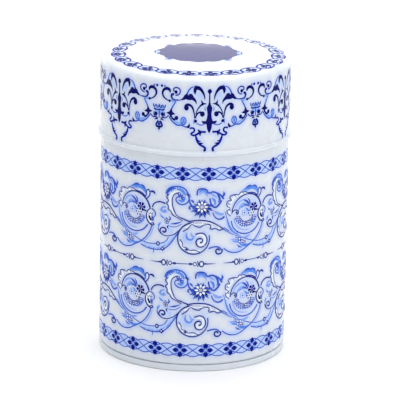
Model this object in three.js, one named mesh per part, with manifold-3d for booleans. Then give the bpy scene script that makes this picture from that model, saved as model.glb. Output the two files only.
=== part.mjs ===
// A round double-lid spice and tea tin: a rolled body with a flush seamed base, a dished
// inner lid with a riveted knob, and a tall slip-on outer lid with an outward rim curl.
// Millimetres, +Z up. The origin is the middle of the circle that the tin stands on.
// Every sheet piece is one strip of plate: a centre line in (radius, height) that is given
// its thickness and turned round the axis.
import * as THREE from "three";
import Module from "manifold-3d";
import { mergeVertices } from "three/addons/utils/BufferGeometryUtils.js";

// ---- driving dimensions --------------------------------------------------------------
const bodyRadius = 38; // outside of the body wall
const plate = 0.25; // tinplate thickness of every sheet piece
const bodyHeight = 119.8; // floor to the top of the body's curled mouth
const lidSkirtHeight = 32; // lower edge of the outer lid to the flat edge of its top
const lidSlipGap = 0.15; // radial clearance of the outer lid over the body
const lidShoulderRadius = 3.5; // outside radius where the lid's top turns into its skirt
const lidCrown = 1; // rise of the lid's top from its edge to its centre
const rimCurlWidth = 1.2; // how far the lid's rim curl stands out from its skirt
const rimCurlHeight = 2.1; // lower edge of the lid to where its skirt starts to turn out
const rimCurlTurn = (7 / 6) * Math.PI; // how far round the rim is curled
const mouthCurlRadius = 0.7; // centre line radius of the body's inward curl
const mouthCurlTurn = 1.35 * Math.PI; // how far round the body's mouth is curled
const seamHeight = 2.7; // floor to the top of the base seam
const seamGap = 0.05; // between neighbouring layers of the base seam
const neckHeight = 0.6; // length of the body's step in above the seam
const basePanelHeight = 4; // floor to the middle of the base panel's plate
const basePanelBend = 0.8; // centre line radius where the base panel turns down
const plugDepth = 11; // body mouth to the panel of the inner lid
const plugGap = 0.15; // radial clearance of the inner lid in the mouth
const plugMouthBend = 0.8; // centre line radius where the plug turns out to its flange
const plugPanelBend = 1.5; // centre line radius where the plug turns in to its panel
const flangeGap = 0.08; // between the inner lid's flange and the body's mouth
const lidRestGap = 0.12; // between the outer lid's shoulder and the flange under it
const flangeSetback = 0.5; // inner lid's flange edge, inside the body's outer radius
const panelStepRadius = 24; // ring where the inner lid's panel steps up
const panelStepHeight = 0.9;
const knobRadius = 7;
const knobHeight = 7.5;
const knobEdgeBend = 1.1; // radius of the knob's rounded edge
const knobUndercut = Math.PI / 3; // how far the rounded edge turns in under the knob
const knobStemRadius = 3.4;
const knobStemHeight = 3;
const knobFootFlare = 0.6; // how far the stem spreads at its foot
const knobFootHeight = 0.8;
const rivetRadius = 1.5;
const rivetReach = 4.1; // how far the rivet's shank stands up inside the knob
const rivetHeadRadius = 3;
const rivetHeadHeight = 0.8;
const rivetHeadFlat = 1.8; // radius of the flat under the rivet's head
const rivetHeadEdge = 0.27; // height of the head's upright edge
const rivetGap = 0.08; // between the rivet and what it holds

// ---- fineness ------------------------------------------------------------------------
const shellSides = 48;
const smallSides = 24;
const arcStep = Math.PI / 5;
const shoulderSteps = 5;
const crownSteps = 3;
const weldDistance = 1e-4; // corners closer than this are one corner
const drillOverrun = 1; // how far a drill runs past the faces it goes through

// ---- helpers -------------------------------------------------------------------------
// A centre line is a list of [radius, height] points. arc() gives the points of a round
// stretch about a centre, from one angle to another in radians, ends included.
function arc(centreRadius, centreHeight, radius, from, to, fewest = 2) {
  const steps = Math.max(fewest, Math.ceil(Math.abs(to - from) / arcStep));
  return Array.from({ length: steps + 1 }, (_, i) => {
    const angle = from + ((to - from) * i) / steps;
    return [
      centreRadius + radius * Math.cos(angle),
      centreHeight + radius * Math.sin(angle),
    ];
  });
}

// Both faces of a strip of plate along a centre line, as one closed outline. Corners are
// mitred, so a straight stretch keeps its full thickness. A point on the axis stays there.
function stripOutline(centreLine, thickness) {
  const points = centreLine.map(([r, z]) => new THREE.Vector2(r, z));
  const sideOf = (a, b) => {
    const along = b.clone().sub(a).normalize();
    return new THREE.Vector2(-along.y, along.x);
  };
  const offsets = points.map((point, i) => {
    const before = i > 0 ? sideOf(points[i - 1], point) : null;
    const after = i < points.length - 1 ? sideOf(point, points[i + 1]) : null;
    if (!before || !after) return before || after;
    const middle = before.clone().add(after).normalize();
    return middle.divideScalar(middle.dot(before));
  });
  const face = (side) =>
    points.map((point, i) => {
      const moved = point
        .clone()
        .addScaledVector(offsets[i], (side * thickness) / 2);
      if (point.x === 0) moved.x = 0;
      return moved;
    });
  return [...face(1), ...face(-1).reverse()];
}

// Turns an outline round the Z axis. An outline that doesn't touch the axis is closed.
function turned(outline, sides) {
  const profile = outline.map((p) => p.clone());
  const onAxis = profile.some((p) => p.x === 0);
  if (!onAxis) profile.push(profile[0].clone());
  const area = profile.reduce((sum, p, i) => {
    const next = profile[(i + 1) % profile.length];
    return sum + p.x * next.y - next.x * p.y;
  }, 0);
  if (area < 0) profile.reverse();
  return new THREE.LatheGeometry(profile, sides).rotateX(Math.PI / 2);
}

const manifold = await Module();
manifold.setup();

function toSolid(geometry) {
  const bare = geometry.clone();
  bare.deleteAttribute("normal");
  bare.deleteAttribute("uv");
  const merged = mergeVertices(bare, weldDistance);
  return new manifold.Manifold(
    new manifold.Mesh({
      numProp: 3,
      vertProperties: merged.attributes.position.array,
      triVerts: new Uint32Array(merged.index.array),
    }),
  );
}

function toGeometry(solid) {
  const mesh = solid.getMesh();
  return new THREE.BufferGeometry()
    .setAttribute(
      "position",
      new THREE.BufferAttribute(mesh.vertProperties, mesh.numProp),
    )
    .setIndex(new THREE.BufferAttribute(mesh.triVerts, 1));
}

// A round hole along Z through a piece.
function drilled(geometry, radius, fromHeight, toHeight) {
  const drill = new THREE.CylinderGeometry(
    radius,
    radius,
    toHeight - fromHeight,
    smallSides,
  )
    .rotateX(Math.PI / 2)
    .translate(0, 0, (fromHeight + toHeight) / 2);
  return toGeometry(toSolid(geometry).subtract(toSolid(drill)));
}

const group = new THREE.Group();
function addPiece(name, geometry, material) {
  const mesh = new THREE.Mesh(geometry, material);
  mesh.name = name;
  group.add(mesh);
}

// ---- materials -----------------------------------------------------------------------
const enamel = new THREE.MeshStandardMaterial({
  color: 0xe9edf2,
  roughness: 0.25,
  metalness: 0,
});
const plainPlate = new THREE.MeshStandardMaterial({
  color: 0xc4c2ba,
  roughness: 0.3,
  metalness: 1,
});
const rivetSteel = new THREE.MeshStandardMaterial({
  color: 0xb9bbbe,
  roughness: 0.35,
  metalness: 1,
});

// ---- places that several pieces share ------------------------------------------------
const wallLine = bodyRadius - plate / 2;
const layer = plate + seamGap;
// The base seam's layers, from the outside in: base skirt, body hook, base hook, body neck
// and the base's inner wall.
const [skirtLine, bodyHookLine, baseHookLine, neckLine, baseWallLine] = [
  0, 1, 2, 3, 4,
].map((n) => wallLine - n * layer);
const mouthRadius = bodyRadius - plate - 2 * mouthCurlRadius;
const flangeEdge = bodyRadius - flangeSetback;
const flangeLine = bodyHeight + flangeGap + plate / 2;
const innerPanelLine = bodyHeight - plugDepth;

// ---- body wall -----------------------------------------------------------------------
function bodyWall() {
  const hookBend = (bodyHookLine - neckLine) / 2;
  const hookMiddle = (bodyHookLine + neckLine) / 2;
  const bendHeight = 2 * layer + plate;
  const hookTop = seamHeight - 2 * layer - plate / 2;
  const neckTop = seamHeight + seamGap;
  const curlMiddle = wallLine - mouthCurlRadius;
  const curlHeight = bodyHeight - mouthCurlRadius - plate / 2;
  return stripOutline(
    [
      [bodyHookLine, hookTop],
      ...arc(hookMiddle, bendHeight, hookBend, 0, -Math.PI),
      [neckLine, neckTop],
      [wallLine, neckTop + neckHeight],
      ...arc(curlMiddle, curlHeight, mouthCurlRadius, 0, mouthCurlTurn),
    ],
    plate,
  );
}

// ---- base ----------------------------------------------------------------------------
function baseDisc() {
  const footBend = (skirtLine - baseWallLine) / 2;
  const footMiddle = (skirtLine + baseWallLine) / 2;
  // The foot's bend is faceted, so it is its lowest facet that meets the floor.
  const footHeight = footBend * Math.cos(arcStep / 2) + plate / 2;
  const hookBendHeight = seamHeight - layer - plate / 2;
  const hookBottom = 2 * layer + plate + seamGap;
  return stripOutline(
    [
      [0, basePanelHeight],
      ...arc(
        baseWallLine - basePanelBend,
        basePanelHeight - basePanelBend,
        basePanelBend,
        Math.PI / 2,
        0,
      ),
      ...arc(footMiddle, footHeight, footBend, -Math.PI, 0),
      ...arc(bodyHookLine, hookBendHeight, layer, 0, Math.PI),
      [baseHookLine, hookBottom],
    ],
    plate,
  );
}

// ---- outer lid -----------------------------------------------------------------------
const lidLine = bodyRadius + lidSlipGap + plate / 2;
const lidTopEdge = (() => {
  // The lid comes down until its shoulder meets the edge of the inner lid's flange.
  const clearBend = lidShoulderRadius - plate - lidRestGap;
  const bendMiddle = lidLine + plate / 2 - lidShoulderRadius;
  const reach = Math.max(flangeEdge - bendMiddle, 0);
  const rise = Math.sqrt(clearBend ** 2 - reach ** 2);
  return flangeLine + plate / 2 + lidShoulderRadius - rise;
})();

function outerLid() {
  const topLine = lidTopEdge - plate / 2;
  const bend = lidShoulderRadius - plate / 2;
  const bendMiddle = lidLine - bend;
  // The crown is a shallow cap: an arc about a centre far below, meeting the shoulder.
  const capRadius = (bendMiddle ** 2 + lidCrown ** 2) / (2 * lidCrown);
  const capHalfAngle = Math.asin(bendMiddle / capRadius);
  const crown = Array.from({ length: crownSteps }, (_, i) => {
    const angle = (capHalfAngle * i) / crownSteps;
    return [
      capRadius * Math.sin(angle),
      topLine + lidCrown - capRadius * (1 - Math.cos(angle)),
    ];
  });
  // The rim curl: the skirt turns out, then rolls over, down and back in underneath.
  const curlBend = rimCurlHeight - rimCurlWidth - plate / 2;
  const turnOut = rimCurlWidth - curlBend;
  const curlMiddle = lidTopEdge - lidSkirtHeight + curlBend + plate / 2;
  const curlTop = curlMiddle + curlBend;
  const curlEnd = Math.PI / 2 - rimCurlTurn;
  return stripOutline(
    [
      ...crown,
      ...arc(bendMiddle, topLine - bend, bend, Math.PI / 2, 0, shoulderSteps),
      ...arc(lidLine + turnOut, curlTop + turnOut, turnOut, -Math.PI, -Math.PI / 2),
      ...arc(lidLine + turnOut, curlMiddle, curlBend, Math.PI / 2, curlEnd).slice(1),
    ],
    plate,
  );
}

// ---- inner lid -----------------------------------------------------------------------
function innerLid() {
  const plugLine = mouthRadius - plugGap - plate / 2;
  return stripOutline(
    [
      [0, innerPanelLine + panelStepHeight],
      [panelStepRadius, innerPanelLine + panelStepHeight],
      [panelStepRadius + panelStepHeight, innerPanelLine],
      ...arc(
        plugLine - plugPanelBend,
        innerPanelLine + plugPanelBend,
        plugPanelBend,
        -Math.PI / 2,
        0,
      ),
      ...arc(
        plugLine + plugMouthBend,
        flangeLine - plugMouthBend,
        plugMouthBend,
        Math.PI,
        Math.PI / 2,
      ),
      [flangeEdge, flangeLine],
    ],
    plate,
  );
}

// ---- knob and rivet ------------------------------------------------------------------
const panelTop = innerPanelLine + panelStepHeight + plate / 2;
const knobFoot = panelTop + rivetGap;
const knobTop = knobFoot + knobHeight;
const rivetHole = rivetRadius + rivetGap;
const shankTop = knobFoot + rivetReach;

function knobOutline() {
  const bendMiddle = knobRadius - knobEdgeBend;
  const upperBendHeight = knobTop - knobEdgeBend;
  const lowerBendHeight = upperBendHeight - knobEdgeBend;
  return [
    [0, knobFoot],
    [knobStemRadius + knobFootFlare, knobFoot],
    [knobStemRadius, knobFoot + knobFootHeight],
    [knobStemRadius, knobFoot + knobStemHeight],
    ...arc(bendMiddle, lowerBendHeight, knobEdgeBend, -knobUndercut, 0),
    ...arc(bendMiddle, upperBendHeight, knobEdgeBend, 0, Math.PI / 2),
    [0, knobTop],
  ].map(([r, z]) => new THREE.Vector2(r, z));
}

function rivetOutline() {
  const headTop = innerPanelLine + panelStepHeight - plate / 2 - rivetGap;
  const headBottom = headTop - rivetHeadHeight;
  return [
    [0, headBottom],
    [rivetHeadFlat, headBottom],
    [rivetHeadRadius, headTop - rivetHeadEdge],
    [rivetHeadRadius, headTop],
    [rivetRadius, headTop],
    [rivetRadius, shankTop],
    [0, shankTop],
  ].map(([r, z]) => new THREE.Vector2(r, z));
}

// ---- the assembly --------------------------------------------------------------------
addPiece("body_wall", turned(bodyWall(), shellSides), enamel);
addPiece("base_disc", turned(baseDisc(), shellSides), enamel);
addPiece("outer_lid", turned(outerLid(), shellSides), enamel);
addPiece(
  "inner_lid",
  drilled(
    turned(innerLid(), shellSides),
    rivetHole,
    innerPanelLine - drillOverrun,
    panelTop + drillOverrun,
  ),
  plainPlate,
);
addPiece(
  "inner_lid_knob",
  drilled(
    turned(knobOutline(), smallSides),
    rivetHole,
    knobFoot - drillOverrun,
    shankTop + rivetGap,
  ),
  plainPlate,
);
addPiece("knob_rivet", turned(rivetOutline(), smallSides), rivetSteel);

export default group;
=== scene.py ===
# %% [markdown]
# # A blue-and-white spice tin
#
# The tin is drawn and rolled from thin tinplate, lacquered white, and printed with blue
# scrollwork. The solid model already holds its sizes and its joints, so it is loaded
# first, as a fixed frame. Every piece made here replaces or sits on a piece of that frame.

# %% Load the frame
from math import atan2, ceil, cos, exp, pi, radians, sin, sqrt

import bmesh
import bpy
from mathutils import Matrix, Vector
from mathutils.kdtree import KDTree


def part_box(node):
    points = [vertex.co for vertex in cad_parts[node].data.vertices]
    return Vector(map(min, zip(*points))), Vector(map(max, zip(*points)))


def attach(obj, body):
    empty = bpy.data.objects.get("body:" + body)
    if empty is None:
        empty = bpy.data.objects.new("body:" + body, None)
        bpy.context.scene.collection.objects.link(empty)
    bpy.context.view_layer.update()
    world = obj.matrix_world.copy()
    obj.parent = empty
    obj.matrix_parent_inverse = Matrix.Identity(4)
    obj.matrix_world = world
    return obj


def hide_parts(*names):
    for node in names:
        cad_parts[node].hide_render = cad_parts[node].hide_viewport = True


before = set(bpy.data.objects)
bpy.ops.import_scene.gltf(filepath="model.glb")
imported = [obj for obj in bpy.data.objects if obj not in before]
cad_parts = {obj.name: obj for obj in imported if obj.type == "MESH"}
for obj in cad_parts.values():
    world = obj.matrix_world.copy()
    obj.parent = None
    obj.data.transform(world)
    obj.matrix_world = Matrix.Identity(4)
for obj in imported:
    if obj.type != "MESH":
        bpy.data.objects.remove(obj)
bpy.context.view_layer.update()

MM = 0.001  # shapes are worked out in millimetres, and turned into metres at the end


def size_of(node):
    """The lowest and highest corner of a CAD node, in millimetres."""
    low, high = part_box(node)
    return Vector(low) / MM, Vector(high) / MM


# %% [markdown]
# ## The sizes that everything hangs on
#
# The radius of the wall and the heights of the lids are read from the frame. The rest
# are the usual sizes of tinplate work: a plate a quarter of a millimetre thick, and a
# seam of five layers of it.

# %% Driving sizes
PLATE = 0.25
WALL_R = size_of("body_wall")[1].x
LID_RIM_R = size_of("outer_lid")[1].x
LID_BOTTOM = size_of("outer_lid")[0].z
LID_TOP = size_of("outer_lid")[1].z
MOUTH_TOP = size_of("body_wall")[1].z
FLANGE_R = size_of("inner_lid")[1].x
FLANGE_TOP = size_of("inner_lid")[1].z
PANEL_BOTTOM = size_of("inner_lid")[0].z
SEAM_TOP = 2.7
SEAM_GAP = 0.05
LAYER = PLATE + SEAM_GAP
NECK_HEIGHT = 0.6
MOUTH_CURL = 0.7  # radius of the curl's centre line
SLIP_GAP = 0.15  # between the body and the outer lid
LID_LINE = WALL_R + SLIP_GAP + PLATE / 2
LID_R = LID_LINE + PLATE / 2
SHOULDER = 3.5
CROWN = 1.0
RIM_WIDTH = LID_RIM_R - LID_R
RIM_HEIGHT = 2.1
print(f"wall radius {WALL_R:.2f} mm, lid {LID_BOTTOM:.2f} to {LID_TOP:.2f} mm")

# %% [markdown]
# ## Spinning sheet metal
#
# A drawn or rolled piece of plate has the same section all the way round. So its middle
# line is drawn once, as a chain of points from the axis outwards, and `spin` turns it
# into a shell. Solidify then gives the shell the thickness of the plate, half to each
# side. A lathe modifier would do the same, but spin leaves a real mesh, on which the
# print can be placed and a wash of colour stored.

# %% Arcs and straight runs for a middle line
def arc(across, up, radius, start, end, steps=8):
    """Points (radius, height) of a round stretch, from one angle to another in degrees."""
    angles = [radians(start + (end - start) * i / steps) for i in range(steps + 1)]
    return [(across + radius * cos(a), up + radius * sin(a)) for a in angles]


def run(start, end, steps):
    """Points of a straight stretch, without its last one."""
    return [
        (
            start[0] + (end[0] - start[0]) * i / steps,
            start[1] + (end[1] - start[1]) * i / steps,
        )
        for i in range(steps)
    ]


# %% From a bmesh in millimetres to an object in metres
def make_object(name, bm, materials):
    """Stores a bmesh as an object at the origin, with its place in its mesh."""
    bmesh.ops.scale(bm, vec=(MM, MM, MM), verts=bm.verts)
    mesh = bpy.data.meshes.new(name)
    bm.to_mesh(mesh)
    bm.free()
    for material in materials:
        mesh.materials.append(material)
    piece = bpy.data.objects.new(name, mesh)
    bpy.context.scene.collection.objects.link(piece)
    return piece


def finish_piece(piece, body, slot, *nodes):
    """Tells the frame which body a piece rides on and the nodes it replaces. slot is not used."""
    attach(piece, body)
    if nodes:
        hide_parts(*nodes)
    print(f"{piece.name}: {len(piece.data.polygons)} faces, rides on {body}")


# %% The spun shell
def spun(line, steps):
    """A bmesh shell: a middle line turned once round Z, with its faces turned outwards."""
    bm = bmesh.new()
    verts = [bm.verts.new((across, 0, up)) for across, up in line]
    pairs = [pair for pair in zip(verts, verts[1:]) if pair[0].co.x or pair[1].co.x]
    edges = [bm.edges.new(pair) for pair in pairs]
    bmesh.ops.spin(
        bm,
        geom=verts + edges,
        cent=(0, 0, 0),
        axis=(0, 0, 1),
        angle=2 * pi,
        steps=steps,
        use_merge=True,
    )
    bmesh.ops.remove_doubles(bm, verts=bm.verts, dist=1e-5)
    bmesh.ops.recalc_face_normals(bm, faces=bm.faces)
    for face in bm.faces:
        face.smooth = True
    return bm


def plate_piece(name, line, materials, outer_point, steps=256):
    """A sheet piece. outer_point is a spot outside it, which its outer side faces."""
    bm = spun(line, steps)
    spot = Vector((outer_point[0], 0, outer_point[1]))
    nearest = min(bm.faces, key=lambda f: (f.calc_center_median() - spot).length)
    if nearest.normal.dot(spot - nearest.calc_center_median()) < 0:
        bmesh.ops.reverse_faces(bm, faces=bm.faces)
    piece = make_object(name, bm, materials)
    wall = piece.modifiers.new("plate", "SOLIDIFY")
    wall.thickness = PLATE * MM
    wall.offset = 0
    wall.use_even_offset = True
    wall.material_offset = 1 if len(materials) > 1 else 0
    wall.material_offset_rim = wall.material_offset
    return piece


# %% [markdown]
# ## Finishes
#
# White stove enamel on tinplate is never quite one white: it is a little cool, a little
# deeper where it ran, and it has a faint orange-peel skin under its gloss. Around the
# printed lines the blue has bled into it, and that wash is stored on the mesh as an
# attribute, because it follows the drawing and no texture could know where that is.
# Round the wall, just under the lid's bead, a thin line of the white is painted a little darker: a
# painted shadow of the bead.

# %% A helper for node trees
def new_material(name):
    """An empty node material and short ways to add and join its nodes."""
    material = bpy.data.materials.new(name)
    material.use_nodes = True
    tree = material.node_tree
    tree.nodes.clear()
    out = tree.nodes.new("ShaderNodeOutputMaterial")
    shader = tree.nodes.new("ShaderNodeBsdfPrincipled")
    tree.links.new(shader.outputs["BSDF"], out.inputs["Surface"])

    def add(kind, **settings):
        node = tree.nodes.new("ShaderNode" + kind)
        for key, value in settings.items():
            if key in node.inputs:
                node.inputs[key].default_value = value
            else:
                setattr(node, key, value)
        return node

    return material, shader, add, tree.links.new


def noise(add, join, scale, detail=2.0, stretch=(1, 1, 1)):
    """Noise on Object coordinates. scale is in features per metre."""
    place = add("TexCoord")
    turn = add("Mapping", Scale=stretch)
    pattern = add("TexNoise", Scale=scale, Detail=detail)
    join(place.outputs["Object"], turn.inputs["Vector"])
    join(turn.outputs["Vector"], pattern.inputs["Vector"])
    return pattern.outputs["Fac"]


def ramp(add, join, fac, low, high, start=0.3, end=0.7):
    """A colour or a grey that goes from low to high as fac goes from start to end."""
    node = add("ValToRGB")
    for element, place, value in zip(
        node.color_ramp.elements, (start, end), (low, high)
    ):
        element.position = place
        element.color = value if isinstance(value, tuple) else (value,) * 3 + (1,)
    join(fac, node.inputs["Fac"])
    return node.outputs["Color"]


def skin(add, join, shader, fac, height):
    """A bump from a pattern, with its height in millimetres."""
    bump = add("Bump", Strength=1.0, Distance=height * MM)
    join(fac, bump.inputs["Height"])
    join(bump.outputs["Normal"], shader.inputs["Normal"])


def light_of(red, green, blue):
    """A colour named as a screen shows it, 0 to 255, turned into linear light."""
    return tuple((part / 255) ** 2.2 for part in (red, green, blue)) + (1,)


# %% White enamel with its blue wash
WHITE = (0.74, 0.785, 0.85, 1)
WHITE_DEEP = (0.73, 0.775, 0.84, 1)
BEAD_SHADOW_TINT = (0.84, 0.85, 0.87, 1)  # painted shadow: how much darker the white is under the lid's bead
BEAD_SHADOW_BOTTOM, BEAD_SHADOW_TOP = 89.0, 89.9  # heights of the painted shadow line on the wall, just under the lid's bead
BEAD_SHADOW_FADE = 0.3
WASH = light_of(168, 192, 255)


def painted_bead_shadow(add, join):
    """1 in the thin line round the wall under the lid's bead, where its shadow is painted, and 0
    elsewhere.
    """
    place = add("TexCoord")
    split = add("SeparateXYZ")
    join(place.outputs["Object"], split.inputs[0])
    rise = add("MapRange")
    fall = add("MapRange")
    both = add("Math", operation="MULTIPLY")
    for slope, start, end in (
        (rise, BEAD_SHADOW_BOTTOM, BEAD_SHADOW_BOTTOM + BEAD_SHADOW_FADE),
        (fall, BEAD_SHADOW_TOP, BEAD_SHADOW_TOP - BEAD_SHADOW_FADE),
    ):
        join(split.outputs["Z"], slope.inputs["Value"])
        slope.inputs["From Min"].default_value = start * MM
        slope.inputs["From Max"].default_value = end * MM
    join(rise.outputs[0], both.inputs[0])
    join(fall.outputs[0], both.inputs[1])
    return both.outputs[0]


def white_enamel():
    material, shader, add, join = new_material("white enamel")
    cloud = noise(add, join, 28, 3)
    white = ramp(add, join, cloud, WHITE_DEEP, WHITE)
    halo = add("Attribute", attribute_name="wash")
    grain = noise(add, join, 900, 2)
    uneven = ramp(add, join, grain, 0.8, 1.0)
    weigh = add("Math", operation="MULTIPLY")
    join(halo.outputs["Fac"], weigh.inputs[0])
    join(uneven, weigh.inputs[1])
    blend = add("Mix", data_type="RGBA", blend_type="MIX")
    join(weigh.outputs[0], blend.inputs[0])
    join(white, blend.inputs[6])
    blend.inputs[7].default_value = WASH
    # painted shadow: the white is darkened in a thin line just under the lid's bead
    bead_shaded = add("Mix", data_type="RGBA", blend_type="MULTIPLY")
    join(painted_bead_shadow(add, join), bead_shaded.inputs[0])
    join(blend.outputs[2], bead_shaded.inputs[6])
    bead_shaded.inputs[7].default_value = BEAD_SHADOW_TINT
    join(bead_shaded.outputs[2], shader.inputs["Base Color"])
    join(ramp(add, join, noise(add, join, 160, 4), 0.24, 0.29), shader.inputs["Roughness"])
    skin(add, join, shader, noise(add, join, 500, 2), 0.0004)
    shader.inputs["Specular IOR Level"].default_value = 0.3
    shader.inputs["Coat Weight"].default_value = 0.12
    shader.inputs["Coat Roughness"].default_value = 0.1
    return material


# %% Bright tinplate
PLATE_LIGHT = (0.8, 0.79, 0.75, 1)
PLATE_DARK = (0.66, 0.65, 0.61, 1)


def bright_tinplate():
    material, shader, add, join = new_material("bright tinplate")
    rolled = noise(add, join, 90, 3, (1, 1, 14))
    spangle = noise(add, join, 260, 2)
    join(ramp(add, join, spangle, PLATE_DARK, PLATE_LIGHT), shader.inputs["Base Color"])
    join(ramp(add, join, rolled, 0.2, 0.42), shader.inputs["Roughness"])
    skin(add, join, shader, rolled, 0.006)
    shader.inputs["Metallic"].default_value = 1.0
    return material


ENAMEL = white_enamel()
TINPLATE = bright_tinplate()
print("finishes:", ENAMEL.name, "and", TINPLATE.name)

# %% [markdown]
# ## Printing inks
#
# The decoration is printed in several blues, from a thin wash to a nearly black navy.
# Ink on a glossy sheet lies a little unevenly: where the roller carried less of it, the
# white shines through. So each ink drifts between a full and a thin shade, and keeps the
# gloss of the varnish over it.

# %% The inks, each as (full shade, thin shade)
INK_SHADES = {
    "navy": ((8, 10, 92), (16, 20, 110)),
    "royal": ((16, 26, 140), (30, 44, 160)),
    "mid": ((48, 78, 190), (70, 102, 206)),
    "line": ((32, 42, 128), (52, 66, 154)),
    "sky": ((78, 130, 234), (106, 154, 242)),
    "leaf": ((122, 158, 238), (146, 178, 244)),
    "pale": ((176, 200, 252), (190, 211, 254)),
    "bare": ((236, 243, 253), (230, 238, 251)),
}


def printing_ink(name, full, thin, gloss=0.03, grain=0.0012):
    material, shader, add, join = new_material(name + " ink")
    patch = noise(add, join, 420, 3)
    join(
        ramp(add, join, patch, light_of(*full), light_of(*thin)),
        shader.inputs["Base Color"],
    )
    join(ramp(add, join, noise(add, join, 300, 2), 0.13, 0.18), shader.inputs["Roughness"])
    skin(add, join, shader, noise(add, join, 700, 2), grain)
    shader.inputs["Specular IOR Level"].default_value = 0.05
    shader.inputs["Coat Weight"].default_value = gloss
    shader.inputs["Coat Roughness"].default_value = 0.06
    return material


INKS = list(INK_SHADES)
INK_MATERIALS = [printing_ink(name, *shades) for name, shades in INK_SHADES.items()]
PANEL_INK = printing_ink("varnished violet", (12, 12, 118), (16, 16, 124), 1.0, 0.0003)
print("inks:", ", ".join(INKS))

# %% [markdown]
# ## The body
#
# One strip of plate, rolled round and closed with a seam at the back. Its mouth is
# curled inwards, so that no cut edge meets a finger, and its foot is stepped in and
# hooked into the base. The rows up the wall are about a millimetre apart, because the
# blue wash is stored on them.

# %% The body's middle line
WALL_LINE = WALL_R - PLATE / 2
HOOK_LINE = WALL_LINE - LAYER
BASE_HOOK_LINE = WALL_LINE - 2 * LAYER
NECK_LINE = WALL_LINE - 3 * LAYER
BASE_WALL_LINE = WALL_LINE - 4 * LAYER
NECK_TOP = SEAM_TOP + SEAM_GAP
CURL_MIDDLE = MOUTH_TOP - MOUTH_CURL - PLATE / 2
WALL_ROWS = 118
NECK_EASE = 0.3375  # share of the neck's height that each of its bends takes
CURL_END = 245  # degrees round the mouth's curl


def body_line():
    hook_bend = 2 * LAYER + PLATE
    step = NECK_TOP + NECK_HEIGHT
    ease = NECK_HEIGHT * NECK_EASE
    return [
        (HOOK_LINE, SEAM_TOP - 2 * LAYER - PLATE / 2),
        *arc(BASE_HOOK_LINE, hook_bend, LAYER, 0, -180, 6),
        (NECK_LINE, NECK_TOP),
        (NECK_LINE + 0.25 * (WALL_LINE - NECK_LINE), NECK_TOP + ease),
        (NECK_LINE + 0.75 * (WALL_LINE - NECK_LINE), step - ease),
        *run((WALL_LINE, step), (WALL_LINE, CURL_MIDDLE), WALL_ROWS),
        *arc(WALL_LINE - MOUTH_CURL, CURL_MIDDLE, MOUTH_CURL, 0, CURL_END, 12),
    ]


body = plate_piece("body_shell", body_line(), [ENAMEL, TINPLATE], (WALL_R + 5, 60))
finish_piece(body, "tin", "white_enamel", "body_wall")

# %% [markdown]
# ## The side seam
#
# The strip's two ends meet at the back under a narrow lap. The printer leaves it plain,
# so it cuts the pattern with a white stripe. It is a short spin of an upright line, with
# its own thickness, and it stands only a tenth of a millimetre proud, so that the outer
# lid still slides over it.

# %% The lap at the back
SEAM_STRIP_WIDTH = 3.0
SEAM_STRIP_PROUD = 0.115
SEAM_STRIP_THICK = 0.2


def side_seam():
    bm = bmesh.new()
    out = WALL_R + SEAM_STRIP_PROUD
    low, high = NECK_TOP + NECK_HEIGHT + 0.2, CURL_MIDDLE
    half = SEAM_STRIP_WIDTH / WALL_R / 2
    ends = [bm.verts.new((out * sin(half), out * cos(half), z)) for z in (low, high)]
    edge = bm.edges.new(ends)
    bmesh.ops.spin(
        bm, geom=ends + [edge], cent=(0, 0, 0), axis=(0, 0, 1), angle=2 * half, steps=8
    )
    bmesh.ops.recalc_face_normals(bm, faces=bm.faces)
    bm.faces.ensure_lookup_table()
    if bm.faces[0].normal.y < 0:
        bmesh.ops.reverse_faces(bm, faces=bm.faces)
    bmesh.ops.solidify(bm, geom=bm.faces[:], thickness=SEAM_STRIP_THICK)
    bmesh.ops.recalc_face_normals(bm, faces=bm.faces)
    seam = make_object("side_seam", bm, [ENAMEL])
    soft = seam.modifiers.new("soft edge", "BEVEL")
    soft.width = 0.04 * MM
    soft.segments = 2
    return seam


seam = side_seam()
finish_piece(seam, "tin", "white_enamel")

# %% [markdown]
# ## The base
#
# A pressed disc, set up inside the foot so that the tin stands on its seam. The disc has
# a shallow ring pressed into it, as every can end has, which keeps it from drumming. Its
# edge is rolled down, out and up round the body's hook: the double seam.

# %% The base's middle line
PANEL_UP = 4.0
PANEL_BEND = 0.8
BEAD_R = 26.0
BEAD_HEIGHT = 0.45
BEAD_SLOPE, BEAD_HALF = 1.6, 3.0  # from its middle to halfway up its side, and to its edge


def base_line():
    foot_bend = 2 * LAYER
    return [
        (0, PANEL_UP),
        (BEAD_R - BEAD_HALF, PANEL_UP),
        (BEAD_R - BEAD_SLOPE, PANEL_UP - BEAD_HEIGHT / 2),
        (BEAD_R, PANEL_UP - BEAD_HEIGHT),
        (BEAD_R + BEAD_SLOPE, PANEL_UP - BEAD_HEIGHT / 2),
        (BEAD_R + BEAD_HALF, PANEL_UP),
        *arc(BASE_WALL_LINE - PANEL_BEND, PANEL_UP - PANEL_BEND, PANEL_BEND, 90, 0, 6),
        *arc(BASE_HOOK_LINE, foot_bend + PLATE / 2, foot_bend, -180, 0, 12),
        *arc(HOOK_LINE, SEAM_TOP - LAYER - PLATE / 2, LAYER, 0, 180, 8),
        (BASE_HOOK_LINE, 2 * LAYER + PLATE + SEAM_GAP),
    ]


base = plate_piece("base_end", base_line(), [ENAMEL, TINPLATE], (0, -5))
finish_piece(base, "tin", "white_enamel", "base_disc")

# %% [markdown]
# ## The outer lid
#
# It is drawn in one piece from a single blank, so its shoulder has no seam: the top runs
# over a small radius into a deep skirt. Its edge turns out, rolls over and comes back in
# underneath: a bead, which gives fingers a hold and hides the cut edge.

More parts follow.
